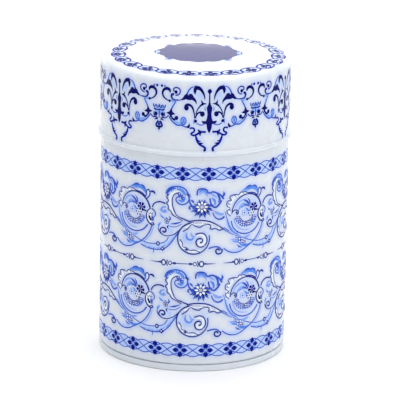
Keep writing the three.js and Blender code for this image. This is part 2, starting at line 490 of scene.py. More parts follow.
# %% The outer lid's middle line
TOP_EDGE = LID_TOP - CROWN
SHOULDER_LINE = SHOULDER - PLATE / 2
SHOULDER_MIDDLE = LID_LINE - SHOULDER_LINE
SHOULDER_FOOT = TOP_EDGE - SHOULDER
CAP_R = (SHOULDER_MIDDLE**2 + CROWN**2) / (2 * CROWN)
SKIRT_ROWS = 26
TOP_RINGS = 34
ROLL_END = -120  # degrees: the bead's roll ends under it, turned back in


def crown_height(across):
    """Height of the lid's top surface at a distance from the axis."""
    if across > SHOULDER_MIDDLE:
        reach = min(across - SHOULDER_MIDDLE, SHOULDER)
        return SHOULDER_FOOT + sqrt(SHOULDER**2 - reach**2)
    return LID_TOP - CAP_R + sqrt(CAP_R**2 - across**2)


def lid_radius(height):
    """Distance of the lid's side from the axis at a height."""
    rise = min(max(height - SHOULDER_FOOT, 0), SHOULDER)
    return SHOULDER_MIDDLE + sqrt(SHOULDER**2 - rise**2)


def lid_line():
    bead = RIM_HEIGHT - RIM_WIDTH - PLATE / 2
    turn_out = RIM_WIDTH - bead
    bead_middle = LID_BOTTOM + bead + PLATE / 2
    bead_top = bead_middle + bead
    rings = [SHOULDER_MIDDLE * i / TOP_RINGS for i in range(TOP_RINGS)]
    shoulder_foot = TOP_EDGE - PLATE / 2 - SHOULDER_LINE
    return [
        *((across, crown_height(across) - PLATE / 2) for across in rings),
        *arc(SHOULDER_MIDDLE, shoulder_foot, SHOULDER_LINE, 90, 0, 10)[:-1],
        *run((LID_LINE, shoulder_foot), (LID_LINE, bead_top + turn_out), SKIRT_ROWS),
        *arc(LID_LINE + turn_out, bead_top + turn_out, turn_out, 180, 270, 6)[:-1],
        *arc(LID_LINE + turn_out, bead_middle, bead, 90, ROLL_END, 16),
    ]


lid = plate_piece("lid_shell", lid_line(), [ENAMEL, TINPLATE], (0, LID_TOP + 5))
finish_piece(lid, "outer_lid", "white_enamel", "outer_lid")

# %% [markdown]
# ## The inner lid, its knob and its rivet
#
# Under the outer lid a dished plug closes the mouth and keeps the spice dry. Its flange
# rests on the curl, and a small turned knob, riveted through the panel, lifts it out. It
# isn't printed: it shows the bare plate with a clear lacquer.

# %% The inner lid
PANEL_LINE = PANEL_BOTTOM + PLATE / 2
FLANGE_LINE = FLANGE_TOP - PLATE / 2
PLUG_LINE = WALL_R - PLATE - 2 * MOUTH_CURL - SLIP_GAP - PLATE / 2
PLUG_BEND, FLANGE_BEND = 1.5, 0.8
PANEL_STEP_R = 24.0
PANEL_STEP = 0.9
RIVET_R = 1.5
RIVET_GAP = 0.08


def inner_lid_line():
    step_top = PANEL_LINE + PANEL_STEP
    return [
        (RIVET_R + RIVET_GAP, step_top),
        *run((9.0, step_top), (PANEL_STEP_R - 0.6, step_top), 3),
        (PANEL_STEP_R - 0.1, step_top - 0.15),
        (PANEL_STEP_R + 0.7, PANEL_LINE + 0.15),
        (PANEL_STEP_R + 1.2, PANEL_LINE),
        *arc(PLUG_LINE - PLUG_BEND, PANEL_LINE + PLUG_BEND, PLUG_BEND, -90, 0, 8),
        *arc(PLUG_LINE + FLANGE_BEND, FLANGE_LINE - FLANGE_BEND, FLANGE_BEND, 180, 90, 6),
        (FLANGE_R, FLANGE_LINE),
    ]


inner_lid = plate_piece(
    "inner_lid_plug", inner_lid_line(), [TINPLATE], (20, FLANGE_TOP + 9), 192
)
finish_piece(inner_lid, "inner_lid_set", "tinplate", "inner_lid")

# %% [markdown]
# ## Turned brass and a rivet
#
# The knob is a small turning with a waist for two fingertips and grooves left by the
# tool, so its outline closes on itself round the rivet's hole and is spun as a solid.
# The rivet's head shows under the panel, flattened and eased at its edge.

# %% Their finishes
BRASS_BRIGHT = (0.8, 0.6, 0.27, 1)
BRASS_DULL = (0.56, 0.4, 0.17, 1)
STEEL_BRIGHT = (0.7, 0.7, 0.69, 1)
STEEL_DULL = (0.48, 0.48, 0.47, 1)


def turned_metal(name, bright, dull, rough):
    material, shader, add, join = new_material(name)
    tarnish = noise(add, join, 240, 4)
    lines = noise(add, join, 350, 2, (0.2, 0.2, 9))
    join(ramp(add, join, tarnish, dull, bright), shader.inputs["Base Color"])
    join(ramp(add, join, lines, rough, rough + 0.16), shader.inputs["Roughness"])
    skin(add, join, shader, lines, 0.012)
    shader.inputs["Metallic"].default_value = 1.0
    return material


BRASS = turned_metal("satin brass", BRASS_BRIGHT, BRASS_DULL, 0.24)
RIVET_STEEL = turned_metal("rivet steel", STEEL_BRIGHT, STEEL_DULL, 0.3)

# %% The knob and the rivet
KNOB_LOW, KNOB_HIGH = (corner.z for corner in size_of("inner_lid_knob"))
KNOB_R = size_of("inner_lid_knob")[1].x
KNOB_STEM = 3.4
RIVET_LOW, RIVET_HIGH = (corner.z for corner in size_of("knob_rivet"))
RIVET_HEAD_R = size_of("knob_rivet")[1].x
RIVET_HEAD = 0.8
RIVET_EDGE = 0.5  # bend of the head's lower edge
SHANK_EDGE = 0.15
KNOB_EDGE = 1.1  # bend of the knob's rounded edge
KNOB_WAIST = 1.0  # bend of its hollow


def solid_of(name, line, material, steps):
    """A turned solid from a closed outline."""
    bm = spun([*line, line[0]], steps)
    for edge in bm.edges:
        if len(edge.link_faces) == 2:
            edge.smooth = edge.calc_face_angle() < radians(50)
    return make_object(name, bm, [material])


def knob_line():
    bore = RIVET_R + RIVET_GAP
    bore_top = RIVET_HIGH + RIVET_GAP
    cap = KNOB_HIGH - KNOB_EDGE
    groove = KNOB_HIGH - 0.12
    return [
        (bore, KNOB_LOW),
        (KNOB_STEM + 0.5, KNOB_LOW),
        *arc(KNOB_STEM + 0.5, KNOB_LOW + 0.35, 0.3, -60, 90, 4),
        *arc(KNOB_STEM + KNOB_WAIST, KNOB_LOW + 1.95, KNOB_WAIST, 230, 140, 6),
        (KNOB_STEM + 0.9, KNOB_LOW + 3.1),
        *arc(KNOB_R - KNOB_EDGE, cap - 0.9, KNOB_EDGE, -50, 0, 5),
        *arc(KNOB_R - KNOB_EDGE, cap, KNOB_EDGE, 0, 90, 8),
        (4.3, KNOB_HIGH),
        (4.1, groove),
        (3.9, KNOB_HIGH),
        (2.0, KNOB_HIGH - 0.02),
        (0, KNOB_HIGH),
        (0, bore_top),
        (bore, bore_top),
    ]


def rivet_line():
    head_top = RIVET_LOW + RIVET_HEAD
    return [
        (0, RIVET_LOW),
        *arc(RIVET_HEAD_R - RIVET_EDGE, RIVET_LOW + RIVET_EDGE, RIVET_EDGE, -90, 0, 5),
        (RIVET_HEAD_R, head_top),
        (RIVET_R, head_top),
        (RIVET_R, RIVET_HIGH - SHANK_EDGE),
        (RIVET_R - SHANK_EDGE, RIVET_HIGH),
        (0, RIVET_HIGH),
    ]


knob = solid_of("turned_knob", knob_line(), BRASS, 96)
finish_piece(knob, "inner_lid_set", "knob", "inner_lid_knob")
rivet = solid_of("panel_rivet", rivet_line(), RIVET_STEEL, 64)
finish_piece(rivet, "inner_lid_set", "rivet", "knob_rivet")

# %% [markdown]
# ## Drawing with a pen
#
# All the printing is line work: strokes that swell and thin like a pen's. An image would
# be the quick way to put it on, but a drawing made of strokes stays sharp at any distance
# and goes round the tin without a stretch. So each stroke is a list of (x, y, width) in
# millimetres on flat paper. A Bezier curve runs through its points, and a square nib,
# scaled by the width, makes it a thin flat ribbon. Each stroke lies on a level of its
# own, like a sheet of tracing paper, which tells later which stroke a point belongs to.
# A wide ribbon would cut through the round wall, so it is scored into narrow strips
# before it is wrapped. The friezes' strokes are thin enough to do without.

# %% Kinds of stroke
def pen(ink, width, *points, to=None):
    """A line of one width, or one that changes evenly to another width."""
    end = width if to is None else to
    last = len(points) - 1
    return ink, [
        (x, y, width + (end - width) * i / last) for i, (x, y) in enumerate(points)
    ]


def leaf(ink, *points):
    """A stroke with its own width at each point."""
    return ink, list(points)


def dot(ink, x, y, radius):
    """A round spot: a short stroke that swells and thins like the chords of a circle."""
    places = [-cos(pi * i / 6) for i in range(7)]
    return ink, [
        (x + radius * p, y, max(2 * radius * sqrt(1 - p * p), 0.05)) for p in places
    ]


def bow(x, y, across, up, start, end, steps=6):
    """Points on an ellipse, from one angle to another in degrees."""
    angles = [radians(start + (end - start) * i / steps) for i in range(steps + 1)]
    return [(x + across * cos(a), y + up * sin(a)) for a in angles]


def volute(x, y, radius, start, turns, steps=9):
    """Points of a spiral that winds inwards from an angle in degrees."""
    places = [i / steps for i in range(steps + 1)]
    return [
        (
            x + radius * (1 - 0.8 * p) * cos(radians(start + 360 * turns * p)),
            y + radius * (1 - 0.8 * p) * sin(radians(start + 360 * turns * p)),
        )
        for p in places
    ]


def petals(ink, x, y, count, reach, radius, start=90, spread=360):
    """Round petals, set in a ring or a part of one."""
    angles = [radians(start + spread * i / count) for i in range(count)]
    return [dot(ink, x + reach * cos(a), y + reach * sin(a), radius) for a in angles]


def rays(ink, x, y, count, inner, outer, width, start, spread):
    """Short pointed leaves that fan out from a middle."""
    drawn_rays = []
    for i in range(count):
        a = radians(start + spread * i / max(count - 1, 1))
        marks = ((inner, width * 0.5), ((inner + outer) / 2, width), (outer, 0.06))
        drawn_rays.append((ink, [(x + r * cos(a), y + r * sin(a), w) for r, w in marks]))
    return drawn_rays


def spikes(ink, x, y, width, tips):
    """Pointed leaves from one middle out to each of the tips."""
    return [
        leaf(ink, (x, y, width), ((x + u) / 2, (y + v) / 2, 0.6 * width), (u, v, 0.1))
        for u, v in tips
    ]


def mirrored(strokes):
    """The strokes and their mirror image."""
    return strokes + [
        (ink, [(-x, y, width) for x, y, width in points]) for ink, points in strokes
    ]


def shifted(strokes, dx, dy=0.0):
    return [
        (ink, [(x + dx, y + dy, width) for x, y, width in points])
        for ink, points in strokes
    ]


# %% The nib
LEVEL = 20.0  # between the levels of two strokes, more than any stroke is wide


def square_nib():
    """A square outline, which every stroke takes as its section."""
    data = bpy.data.curves.new("nib", "CURVE")
    data.dimensions = "2D"
    outline = data.splines.new("POLY")
    outline.points.add(3)
    for corner, (x, y) in zip(outline.points, ((-1, -1), (1, -1), (1, 1), (-1, 1))):
        corner.co = (x, y, 0, 1)
    outline.use_cyclic_u = True
    nib = bpy.data.objects.new("nib", data)
    bpy.context.scene.collection.objects.link(nib)
    return nib


# %% From strokes to ribbons
def ribbons(strokes):
    """The strokes as one mesh on flat paper, each on its own level."""
    nib = square_nib()
    data = bpy.data.curves.new("strokes", "CURVE")
    data.dimensions = "3D"
    data.twist_mode = "Z_UP"
    data.bevel_mode = "OBJECT"
    data.bevel_object = nib
    data.use_fill_caps = True
    data.resolution_u = 3
    for level, (_, points) in enumerate(strokes):
        spline = data.splines.new("BEZIER")
        spline.bezier_points.add(len(points) - 1)
        for knot, (x, y, width) in zip(spline.bezier_points, points):
            knot.co = (x, y, LEVEL * level)
            knot.radius = width / 2
            knot.handle_left_type = knot.handle_right_type = "AUTO"
    paper = bpy.data.objects.new("strokes", data)
    bpy.context.scene.collection.objects.link(paper)
    bpy.context.view_layer.update()
    graph = bpy.context.evaluated_depsgraph_get()
    mesh = bpy.data.meshes.new_from_object(paper.evaluated_get(graph))
    bpy.data.objects.remove(paper)
    bpy.data.objects.remove(nib)
    return mesh


# %% From ribbons to print on the tin
INK_PROUD = 0.02  # of the first stroke
INK_STEP = 0.0004  # each later stroke lies this much higher
INK_SUNK = 0.01
SCORE_STEP = 0.5  # between the lines that ribbons are cut along
printed_spots = {"tin": [], "outer_lid": []}  # (place, strength of the wash beside it)


def score(bm, step):
    """Cuts flat ribbons along upright lines, so that they can follow the tin's curve."""
    across = [vert.co.x for vert in bm.verts]
    for i in range(ceil(min(across) / step), ceil(max(across) / step)):
        bmesh.ops.bisect_plane(
            bm,
            geom=bm.verts[:] + bm.edges[:] + bm.faces[:],
            plane_co=(i * step, 0, 0),
            plane_no=(1, 0, 0),
            dist=1e-4,
        )


def print_piece(name, body, strokes, repeats, wrap, haze=0.6, settle=None, step=SCORE_STEP):
    """Lays strokes on the tin by wrap(x, y, proud), and repeats them round it."""
    flat = ribbons(strokes)
    bm = bmesh.new()
    bm.from_mesh(flat)
    bpy.data.meshes.remove(flat)
    bmesh.ops.remove_doubles(bm, verts=bm.verts, dist=1e-4)
    bmesh.ops.recalc_face_normals(bm, faces=bm.faces)
    if step:
        score(bm, step)
    for face in bm.faces:
        level = round(face.verts[0].co.z / LEVEL)
        face.material_index = INKS.index(strokes[level][0])
        face.smooth = True
    for vert in bm.verts:
        x, y, z = vert.co
        level = round(z / LEVEL)
        top = z > LEVEL * level
        vert.co = wrap(x, y, INK_PROUD + INK_STEP * level if top else -INK_SUNK)
    for edge in bm.edges:
        edge.smooth = edge.calc_face_angle(0) < radians(40)
    bmesh.ops.spin(
        bm,
        geom=bm.verts[:] + bm.edges[:] + bm.faces[:],
        cent=(0, 0, 0),
        axis=(0, 0, 1),
        angle=2 * pi * (repeats - 1) / repeats,
        steps=repeats - 1,
        use_duplicate=True,
    )
    if settle:
        settle(bm)
    printed_spots[body] += [(vert.co * MM, haze) for vert in bm.verts]
    print(f"{name}: {sum(len(face.verts) - 2 for face in bm.faces)} triangles")
    piece = make_object(name, bm, INK_MATERIALS)
    finish_piece(piece, body, "blue_print")
    return piece


def on_wall(start, middle):
    """Round the body's wall. start is the angle of x = 0, middle the height of y = 0."""

    def wrap(x, y, proud):
        angle = radians(start) + x / WALL_R
        out = WALL_R + proud
        return out * sin(angle), -out * cos(angle), middle + y

    return wrap


def on_lid_side(start, middle):
    """Round the lid's skirt and over its shoulder."""

    def wrap(x, y, proud):
        angle = radians(start) + x / LID_R
        out = lid_radius(middle + y) + proud
        return out * sin(angle), -out * cos(angle), middle + y

    return wrap


def on_lid_top(start, ring):
    """Round the lid's top on a ring. y points outwards."""

    def wrap(x, y, proud):
        angle = radians(start) + x / ring
        across = ring + y
        return across * sin(angle), -across * cos(angle), crown_height(across) + proud

    return wrap


# %% [markdown]
# ## The two narrow bands
#
# Under the lid and over the base runs the same narrow band: flowers with four petals,
# each in a lens made by two lines that cross between the flowers, and two more lines
# that wave along the edges. One repeat is drawn, and it goes 23 times round.

# %% One repeat of the band
BAND_REPEATS = 23
BAND_PITCH = 2 * pi * WALL_R / BAND_REPEATS
BAND_HALF = 2.5  # from the middle line to the edge


def band_unit(pitch, half):
    places = [pitch * (i / 10 - 0.5) for i in range(11)]
    lens = [half * cos(pi * x / pitch) for x in places]
    wave = [half * (0.78 - 0.24 * cos(2 * pi * x / pitch)) for x in places]
    bead = half * 0.255
    petal = [
        (0.5 * bead, 0, 0.6 * bead),
        (1.8 * bead, 0, 2.4 * bead),
        (2.9 * bead, 0, 3.3 * bead),
        (3.8 * bead, 0, 2.2 * bead),
        (4.8 * bead, 0, 0.1),
    ]
    strokes = [
        leaf("pale", *((x, 0, 2 * y) for x, y in zip(places, wave))),
        leaf("pale", *((x, 0, max(2 * y, 0.1)) for x, y in zip(places, lens))),
        *petals("leaf", 0, 0, 4, 1.9 * bead, 1.2 * bead, 45),
    ]
    for side in (1, -1):
        strokes.append(pen("mid", 0.4, *zip(places, [side * y for y in wave])))
        strokes.append(pen("mid", 0.4, *zip(places, [side * y for y in lens])))
    for side in (1, -1):
        strokes.append(leaf("royal", *((side * x, y, w) for x, y, w in petal)))
        strokes.append(leaf("royal", *((y, side * x, w) for x, y, w in petal)))
    strokes += petals("navy", 0, 0, 4, 3.0 * bead, 0.62 * bead, 0)
    strokes += petals("pale", 0, 0, 4, 0.95 * bead, 0.22 * bead, 0)
    return strokes


# %% Print both bands
UPPER_BAND = 82.47
LOWER_BAND = 9.0
UPPER_BAND_TURN = 8.8  # degrees from the front to the middle of a flower
LOWER_BAND_TURN = -6.9

for name, height, turn in (
    ("upper_band", UPPER_BAND, UPPER_BAND_TURN),
    ("lower_band", LOWER_BAND, LOWER_BAND_TURN),
):
    print_piece(
        name + "_print",
        "tin",
        band_unit(BAND_PITCH, BAND_HALF),
        BAND_REPEATS,
        on_wall(turn, height),
        haze=0.35,
    )

# %% [markdown]
# ## The dividing line
#
# Between the two friezes runs a thin turned rod, as on a staircase: a plain middle, a
# bead, a collar, a ring and a long point on each side.

# %% One repeat of the rod
DIVIDER_REPEATS = 8
DIVIDER_HEIGHT = 45.3
DIVIDER_TURN = -6.2


def divider_unit():
    half = [
        pen("line", 0.34, (0, 0), (1.2, 0), (2.3, 0)),
        leaf("line", (2.3, 0, 0.2), (2.9, 0, 1.0), (3.5, 0, 0.9), (4.5, 0, 0.1)),
        pen("line", 0.34, *bow(5.0, 0, 0.62, 0.75, 0, 390, 8)),
        dot("bare", 5.0, 0, 0.36),
        pen("navy", 0.42, (6.1, -1.25), (6.3, 0), (6.1, 1.25)),
        pen("line", 0.5, *bow(7.65, 0, 0.85, 1.1, 0, 390, 12)),
        leaf("bare", (7.1, 0, 0.1), (7.6, 0, 1.2), (8.2, 0, 0.1)),
        leaf("line", (8.5, 0, 0.8), (9.6, 0, 0.5), (11.4, 0, 0.36), (13.3, 0, 0.12)),
        pen("line", 0.2, (8.9, 0.55), (9.6, 0.2), (10.4, 0.05)),
    ]
    return mirrored(half)


print_piece(
    "divider_print",
    "tin",
    divider_unit(),
    DIVIDER_REPEATS,
    on_wall(DIVIDER_TURN, DIVIDER_HEIGHT),
    haze=0.3,
)

# %% [markdown]
# ## The friezes
#
# Each frieze is a chain of leafy scrolls. A repeat holds a large scroll with a flower in
# it, a small round scroll, a tall curl of acanthus, a rosette and a swag that runs under
# them all. The soft fills come first, then the leaves, and the thin outlines last, as a
# printer lays the light plate before the dark one. Middle of the repeat: the middle of
# the large scroll.

# %% Large scroll: fills and foliage
def large_scroll_leaves():
    return [
        leaf("pale", (-8.9, 0.9, 0.6), (-7.9, -2.6, 1.8), (-6.2, -5.6, 2.2), (-3.4, -7.7, 1.3)),
        leaf("leaf", (-8.6, 0.2, 0.3), (-7.6, -3.4, 1.0), (-5.6, -6.3, 1.2), (-3, -8.1, 0.5)),
        leaf("bare", (-7.4, 0.9, 0.6), (-7.6, 3.4, 1.3), (-6.9, 6.0, 1.3), (-5.0, 8.3, 1.2)),
        leaf("bare", (-5.0, 8.3, 1.1), (-1.8, 9.1, 1.0), (1.4, 8.9, 0.9), (4.2, 7.8, 0.3)),
        leaf("pale", (-5.2, 3.0, 0.6), (-4.2, 4.9, 1.3), (-2.3, 5.9, 1.6), (0.4, 6.2, 0.5)),
        leaf("leaf", (-5.0, 3.4, 0.2), (-3.9, 5.2, 0.6), (-2.2, 6.2, 0.6), (-0.2, 6.6, 0.1)),
        leaf("leaf", (-3.6, 1.9, 0.3), (-2.3, 4.0, 1.1), (-0.8, 4.6, 1.2), (0.4, 4.0, 0.3)),
        leaf("mid", (-2.4, 3.1, 0.1), (-1.2, 4.0, 0.6), (0.2, 4.1, 0.7), (1.4, 3.2, 0.2)),
        leaf("mid", (-1.4, 6.4, 0.2), (0.0, 5.8, 0.8), (1.0, 4.8, 0.8), (1.7, 3.4, 0.3)),
        leaf("mid", (0.6, 6.9, 0.1), (1.5, 5.9, 0.5), (1.9, 4.8, 0.5), (2.1, 3.9, 0.1)),
        leaf("sky", (-0.2, 2.8, 0.2), (0.7, 2.2, 0.8), (1.3, 1.0, 0.8), (1.1, -0.2, 0.2)),
        leaf("pale", (2.6, 6.0, 0.2), (4.0, 5.2, 0.9), (5.2, 3.9, 0.6), (5.8, 2.6, 0.1)),
        leaf("leaf", (5.4, -0.6, 0.2), (4.9, -2.2, 0.8), (3.6, -3.8, 0.8), (2.2, -4.8, 0.2)),
        leaf("sky", (-1.9, 10.2, 0.3), (-0.3, 10.8, 1.0), (1.5, 11.1, 1.4), (3.4, 10.9, 1.5)),
        leaf("sky", (3.2, 10.9, 1.3), (4.6, 10.2, 1.3), (5.6, 8.9, 0.7), (6.1, 7.6, 0.2)),
        leaf("mid", (-0.6, 10.9, 0.1), (0.6, 11.6, 0.6), (1.9, 11.8, 0.7), (2.9, 11.3, 0.2)),
        leaf("mid", (2.6, 11.6, 0.1), (3.9, 11.6, 0.6), (5.0, 10.9, 0.6), (5.6, 9.8, 0.1)),
        leaf("leaf", (-2.2, 9.9, 0.1), (-0.8, 10.1, 0.7), (0.8, 10.2, 0.6), (2.0, 9.9, 0.1)),
        leaf("leaf", (-3.6, 2.8, 0.2), (-2.6, 3.9, 0.7), (-1.2, 4.0, 0.6), (-0.2, 3.1, 0.1)),
    ]


# %% Large scroll: outlines
def large_scroll_lines():
    upper = bow(0.75, 0.7, 7.25, 7.9, 170, 16, 10)
    lobes = [
        (-7.0, 0.3),
        (-8.6, 2.4),
        (-7.2, 3.4),
        (-8.6, 4.7),
        (-8.1, 6.7),
        (-6.7, 6.7),
        (-7.5, 8.0),
        (-5.3, 9.0),
        (-3.5, 8.8),
        (-2.4, 9.8),
        (0.9, 9.1),
        (3.7, 8.6),
        (5.7, 7.3),
    ]
    return [
        pen("line", 0.3, *lobes, to=0.42),
        pen("line", 0.42, *volute(-4.5, 1.1, 2.0, 180, -0.72, 7)[::-1], to=0.34),
        pen("line", 0.36, *upper, to=0.6),
        dot("line", -4.35, 1.5, 0.42),
        pen("line", 0.32, (-8.0, 5.6), (-7.3, 5.1), (-6.9, 5.2), to=0.12),
        pen("line", 0.32, (-7.9, 3.2), (-7.2, 2.7), (-6.8, 2.9), to=0.12),
        pen("line", 0.3, (-5.6, 9.0), (-5.0, 8.3), (-4.7, 7.7), to=0.1),
        pen("line", 0.3, (-1.9, 9.6), (-1.2, 9.0), (-0.9, 8.7), to=0.1),
        pen("mid", 0.4, *bow(0.4, -1.4, 7.0, 6.4, 183, 335, 9), to=0.5),
        pen("leaf", 0.5, *bow(0.6, -0.8, 5.9, 5.5, 180, 280, 6), to=0.2),
        pen("mid", 0.22, (-9.3, 2.3), (-8.4, -1.0), (-7.2, -4.3), (-5.5, -6.5), (-3.6, -7.6)),
        pen("mid", 0.34, (5.6, 7.0), (6.0, 8.3), (5.9, 9.6), to=0.5),
        pen("line", 0.42, (5.9, 9.4), (6.5, 10.2), (7.3, 10.0), (7.6, 8.6), (6.9, 7.2), (6.1, 6.4)),
        leaf("bare", (6.7, 7.8, 0.2), (6.9, 8.8, 0.6), (6.8, 9.6, 0.2)),
        leaf("line", (7.6, 9.2, 0.2), (8.6, 9.8, 0.7), (9.6, 9.4, 0.7), (9.9, 8.7, 0.1)),
    ]


# %% Large scroll: its flowers
def little_flower(x, y, size, outline="mid"):
    """Four round petals with bare hearts, round a dark middle."""
    return [
        *petals(outline, x, y, 4, 0.9 * size, 0.75 * size, 45),
        *petals("bare", x, y, 4, 0.9 * size, 0.42 * size, 45),
        dot("line", x, y, 0.3 * size),
    ]


def dark_flower(x, y):
    """Six full petals, parted by fine bare lines."""
    return [
        *petals("royal", x, y, 6, 1.15, 0.78, 60),
        dot("royal", x, y, 1.0),
        *petals("navy", x, y, 6, 1.25, 0.4, 60),
        *rays("bare", x, y, 6, 0.7, 1.95, 0.24, 90, 300),
        *petals("bare", x, y, 3, 0.35, 0.14, 30),
    ]


def star_flower(x, y):
    """Six narrow bare petals with dark tips between them."""
    return [
        *petals("line", x, y, 6, 1.05, 0.34, 0),
        *rays("bare", x, y, 6, 0.2, 1.5, 0.62, 30, 300),
        dot("line", x, y, 0.3),
    ]


def flower_wreath():
    """Small flowers along an arc, with dark seeds outside and between them."""
    wreath = []
    for i in range(7):
        turn = radians(200 + 22 * i)
        x, y = 0.3 + 4.3 * cos(turn), 0.5 + 4.3 * sin(turn)
        wreath += petals("mid", x, y, 5, 0.5, 0.26) if i % 2 else little_flower(x, y, 0.62)
    for i in range(12):
        turn = radians(198 + 12.5 * i)
        across, up = cos(turn), sin(turn)
        wreath.append(dot("line", 0.3 + 3.3 * across, 0.5 + 3.3 * up, 0.24))
        wreath.append(dot("mid", 0.3 + 5.2 * across, 0.5 + 5.2 * up, 0.3))
    return wreath


def large_scroll_flowers():
    return [
        *flower_wreath(),
        *dark_flower(3.75, 2.8),
        *star_flower(2.5, 0.5),
        leaf("navy", (5.0, 1.7, 0.7), (5.7, 1.3, 0.5), (6.4, 1.5, 0.1)),
        *little_flower(-0.8, 1.0, 0.75, "leaf"),
        *little_flower(1.0, -3.5, 0.6, "line"),
    ]


# %% The bell bud and the stem
def bell_bud():
    return [
        leaf("bare", (8.0, 2.2, 0.8), (7.5, 0.6, 2.0), (7.7, -1.4, 2.0), (8.6, -3.3, 0.8)),
        pen("line", 0.44, (8.0, 2.7), (6.8, 1.5), (6.1, -0.5), (6.6, -2.4), (7.9, -3.8), (9.2, -4.2)),
        pen("line", 0.34, (8.5, 2.7), (9.9, 1.6), (10.2, 0.2), (9.4, -0.9), to=0.2),
        leaf("pale", (9.3, 1.3, 0.2), (9.4, 0.2, 0.9), (9.0, -0.8, 0.3)),
        leaf("navy", (7.3, 0.1, 0.1), (7.5, -0.8, 0.9), (8.1, -1.9, 0.9), (8.8, -2.4, 0.1)),
        leaf("mid", (8.6, -0.1, 0.1), (8.9, -1.3, 1.0), (9.2, -2.6, 0.1)),
        pen("line", 0.3, (8.0, -4.0), (8.6, -3.2), (9.3, -3.3), (9.6, -4.1), to=0.4),
        pen("line", 0.2, (7.1, 0.9), (7.5, 0.3), (8.0, 0.9), (8.5, 0.3), (9.0, 0.8)),
        pen("line", 0.4, (8.7, 3.3), (9.4, 4.7), (10.9, 5.7), (12.8, 5.9), (14.3, 5.4), to=0.5),
        pen("sky", 0.4, *volute(13.7, 2.7, 1.4, 60, 0.9), to=0.7),
        leaf("leaf", (12.0, 3.0, 0.2), (12.9, 2.2, 0.9), (14.2, 1.9, 0.8), (15.2, 2.5, 0.2)),
    ]


# %% The dark volute and the stems behind it
def middle_stems():
    return [
        leaf("pale", (14.2, -1.2, 0.6), (15.9, -3.2, 1.5), (16.4, -5.4, 1.6), (17.4, -6.9, 0.5)),
        pen("line", 0.44, *volute(13.75, -5.8, 1.75, 250, -1.15, 10), to=0.7),
        pen("line", 0.34, (11.3, -5.0), (12.0, -6.5), (13.4, -7.6), (15.4, -7.9), (18.0, -7.1)),
        pen("line", 0.34, (18.0, -7.1), (19.8, -5.5), (22.1, -3.2), (24.2, -1.9)),
        leaf("mid", (14.6, -0.2, 0.2), (15.3, -1.6, 0.9), (14.9, -2.9, 0.3)),
        leaf("line", (15.9, -3.2, 0.1), (15.3, -4.1, 0.6), (15.8, -5.1, 0.1)),
        leaf("mid", (16.4, -2.8, 0.1), (18.6, -2.5, 0.7), (21.0, -1.6, 0.2)),
        pen("mid", 0.24, (16.0, -3.8), (18.6, -3.9), (21.0, -2.6)),
        *petals("line", 15.0, -1.7, 5, 0.75, 0.44, 20),
        *petals("bare", 15.0, -1.7, 5, 0.7, 0.24, 20),
        leaf("sky", (12.0, 0.9, 0.1), (13.0, -0.2, 0.8), (14.1, -0.8, 0.2)),
        leaf("mid", (16.0, 0.4, 0.1), (16.4, -0.7, 0.7), (16.0, -1.6, 0.1)),
        leaf("sky", (12.6, -2.6, 0.2), (11.7, -3.6, 0.9), (11.6, -4.8, 0.3)),
        pen("mid", 0.42, (8.6, -4.4), (7.8, -6.7), (6.1, -9.3), (3.7, -11.5), (0.8, -13.2)),
        pen("mid", 0.42, (0.8, -13.2), (-1.8, -14.6), (-4.8, -15.1), (-7.7, -14.3), (-9.6, -12.9)),
        pen("leaf", 0.3, (9.3, -4.8), (8.6, -7.0), (7.0, -9.6), (4.8, -11.6)),
    ]


# %% The swag under the scrolls
def swag():
    upper = [(-9.6, -4.3), (-7.2, -6.0), (-4.8, -7.7), (-1.7, -9.1), (1.1, -10.3)]
    upper += [(3.75, -11.2), (6.6, -11.8), (9.5, -11.7), (12.6, -11.2), (14.7, -10.1)]
    lower = [(3.75, -12.9), (7.1, -13.9), (10.7, -14.0), (13.75, -13.4)]
    lower += [(16.1, -11.5), (18.0, -8.9), (19.8, -6.0)]
    return [
        leaf("pale", (-9.6, -13.4, 0.3), (-5.0, -14.4, 0.9), (-0.8, -12.9, 1.6), (3.0, -11.9, 1.4)),
        leaf("pale", (1.5, -11.6, 0.5), (6.8, -12.8, 1.9), (12.4, -12.4, 2.0), (15.9, -10.2, 1.8)),
        leaf("pale", (15.9, -10.2, 1.8), (17.8, -7.8, 1.4), (19.6, -5.2, 0.3)),
        leaf("leaf", (2.5, -12.3, 0.1), (7.0, -13.4, 0.6), (11.4, -13.4, 0.7), (15.6, -11.2, 0.5)),
        leaf("leaf", (15.6, -11.2, 0.5), (17.6, -8.8, 0.5), (19.2, -6.2, 0.1)),
        pen("mid", 0.36, *upper, (15.8, -8.3), to=0.3),
        pen("mid", 0.42, *lower),
        leaf("leaf", (-6.6, -9.4, 0.2), (-5.2, -9.8, 1.1), (-3.8, -10.2, 1.2), (-2.9, -10.4, 0.5)),
        leaf("sky", (-5.9, -10.4, 0.1), (-4.8, -10.6, 0.6), (-3.5, -10.9, 0.5)),
        leaf("leaf", (-1.4, -9.7, 0.5), (-0.2, -9.3, 1.1), (1.2, -9.0, 0.9), (2.3, -8.4, 0.2)),
        leaf("leaf", (-4.0, -8.6, 0.2), (-2.9, -8.5, 0.9), (-1.8, -9.0, 0.3)),
        leaf("sky", (-2.8, -11.4, 0.3), (-1.8, -12.2, 1.0), (0.0, -12.6, 1.1), (2.4, -12.2, 0.3)),
        leaf("mid", (-3.9, -11.8, 0.1), (-2.9, -12.8, 0.6), (-1.4, -13.3, 0.2)),
        *little_flower(-3.9, -8.9, 0.55),
        *little_flower(-2.2, -10.2, 0.9),
        *little_flower(-0.6, -11.3, 0.6, "line"),
        dot("line", 11.4, -11.5, 0.85),
        dot("pale", 11.4, -11.5, 0.4),
        *petals("royal", 13.4, -13.4, 4, 0.55, 0.42, 0),
        dot("bare", 13.3, -13.3, 0.3),
        pen("line", 0.3, (9.4, -14.1), (9.6, -14.9), (9.3, -15.6), to=0.1),
    ]


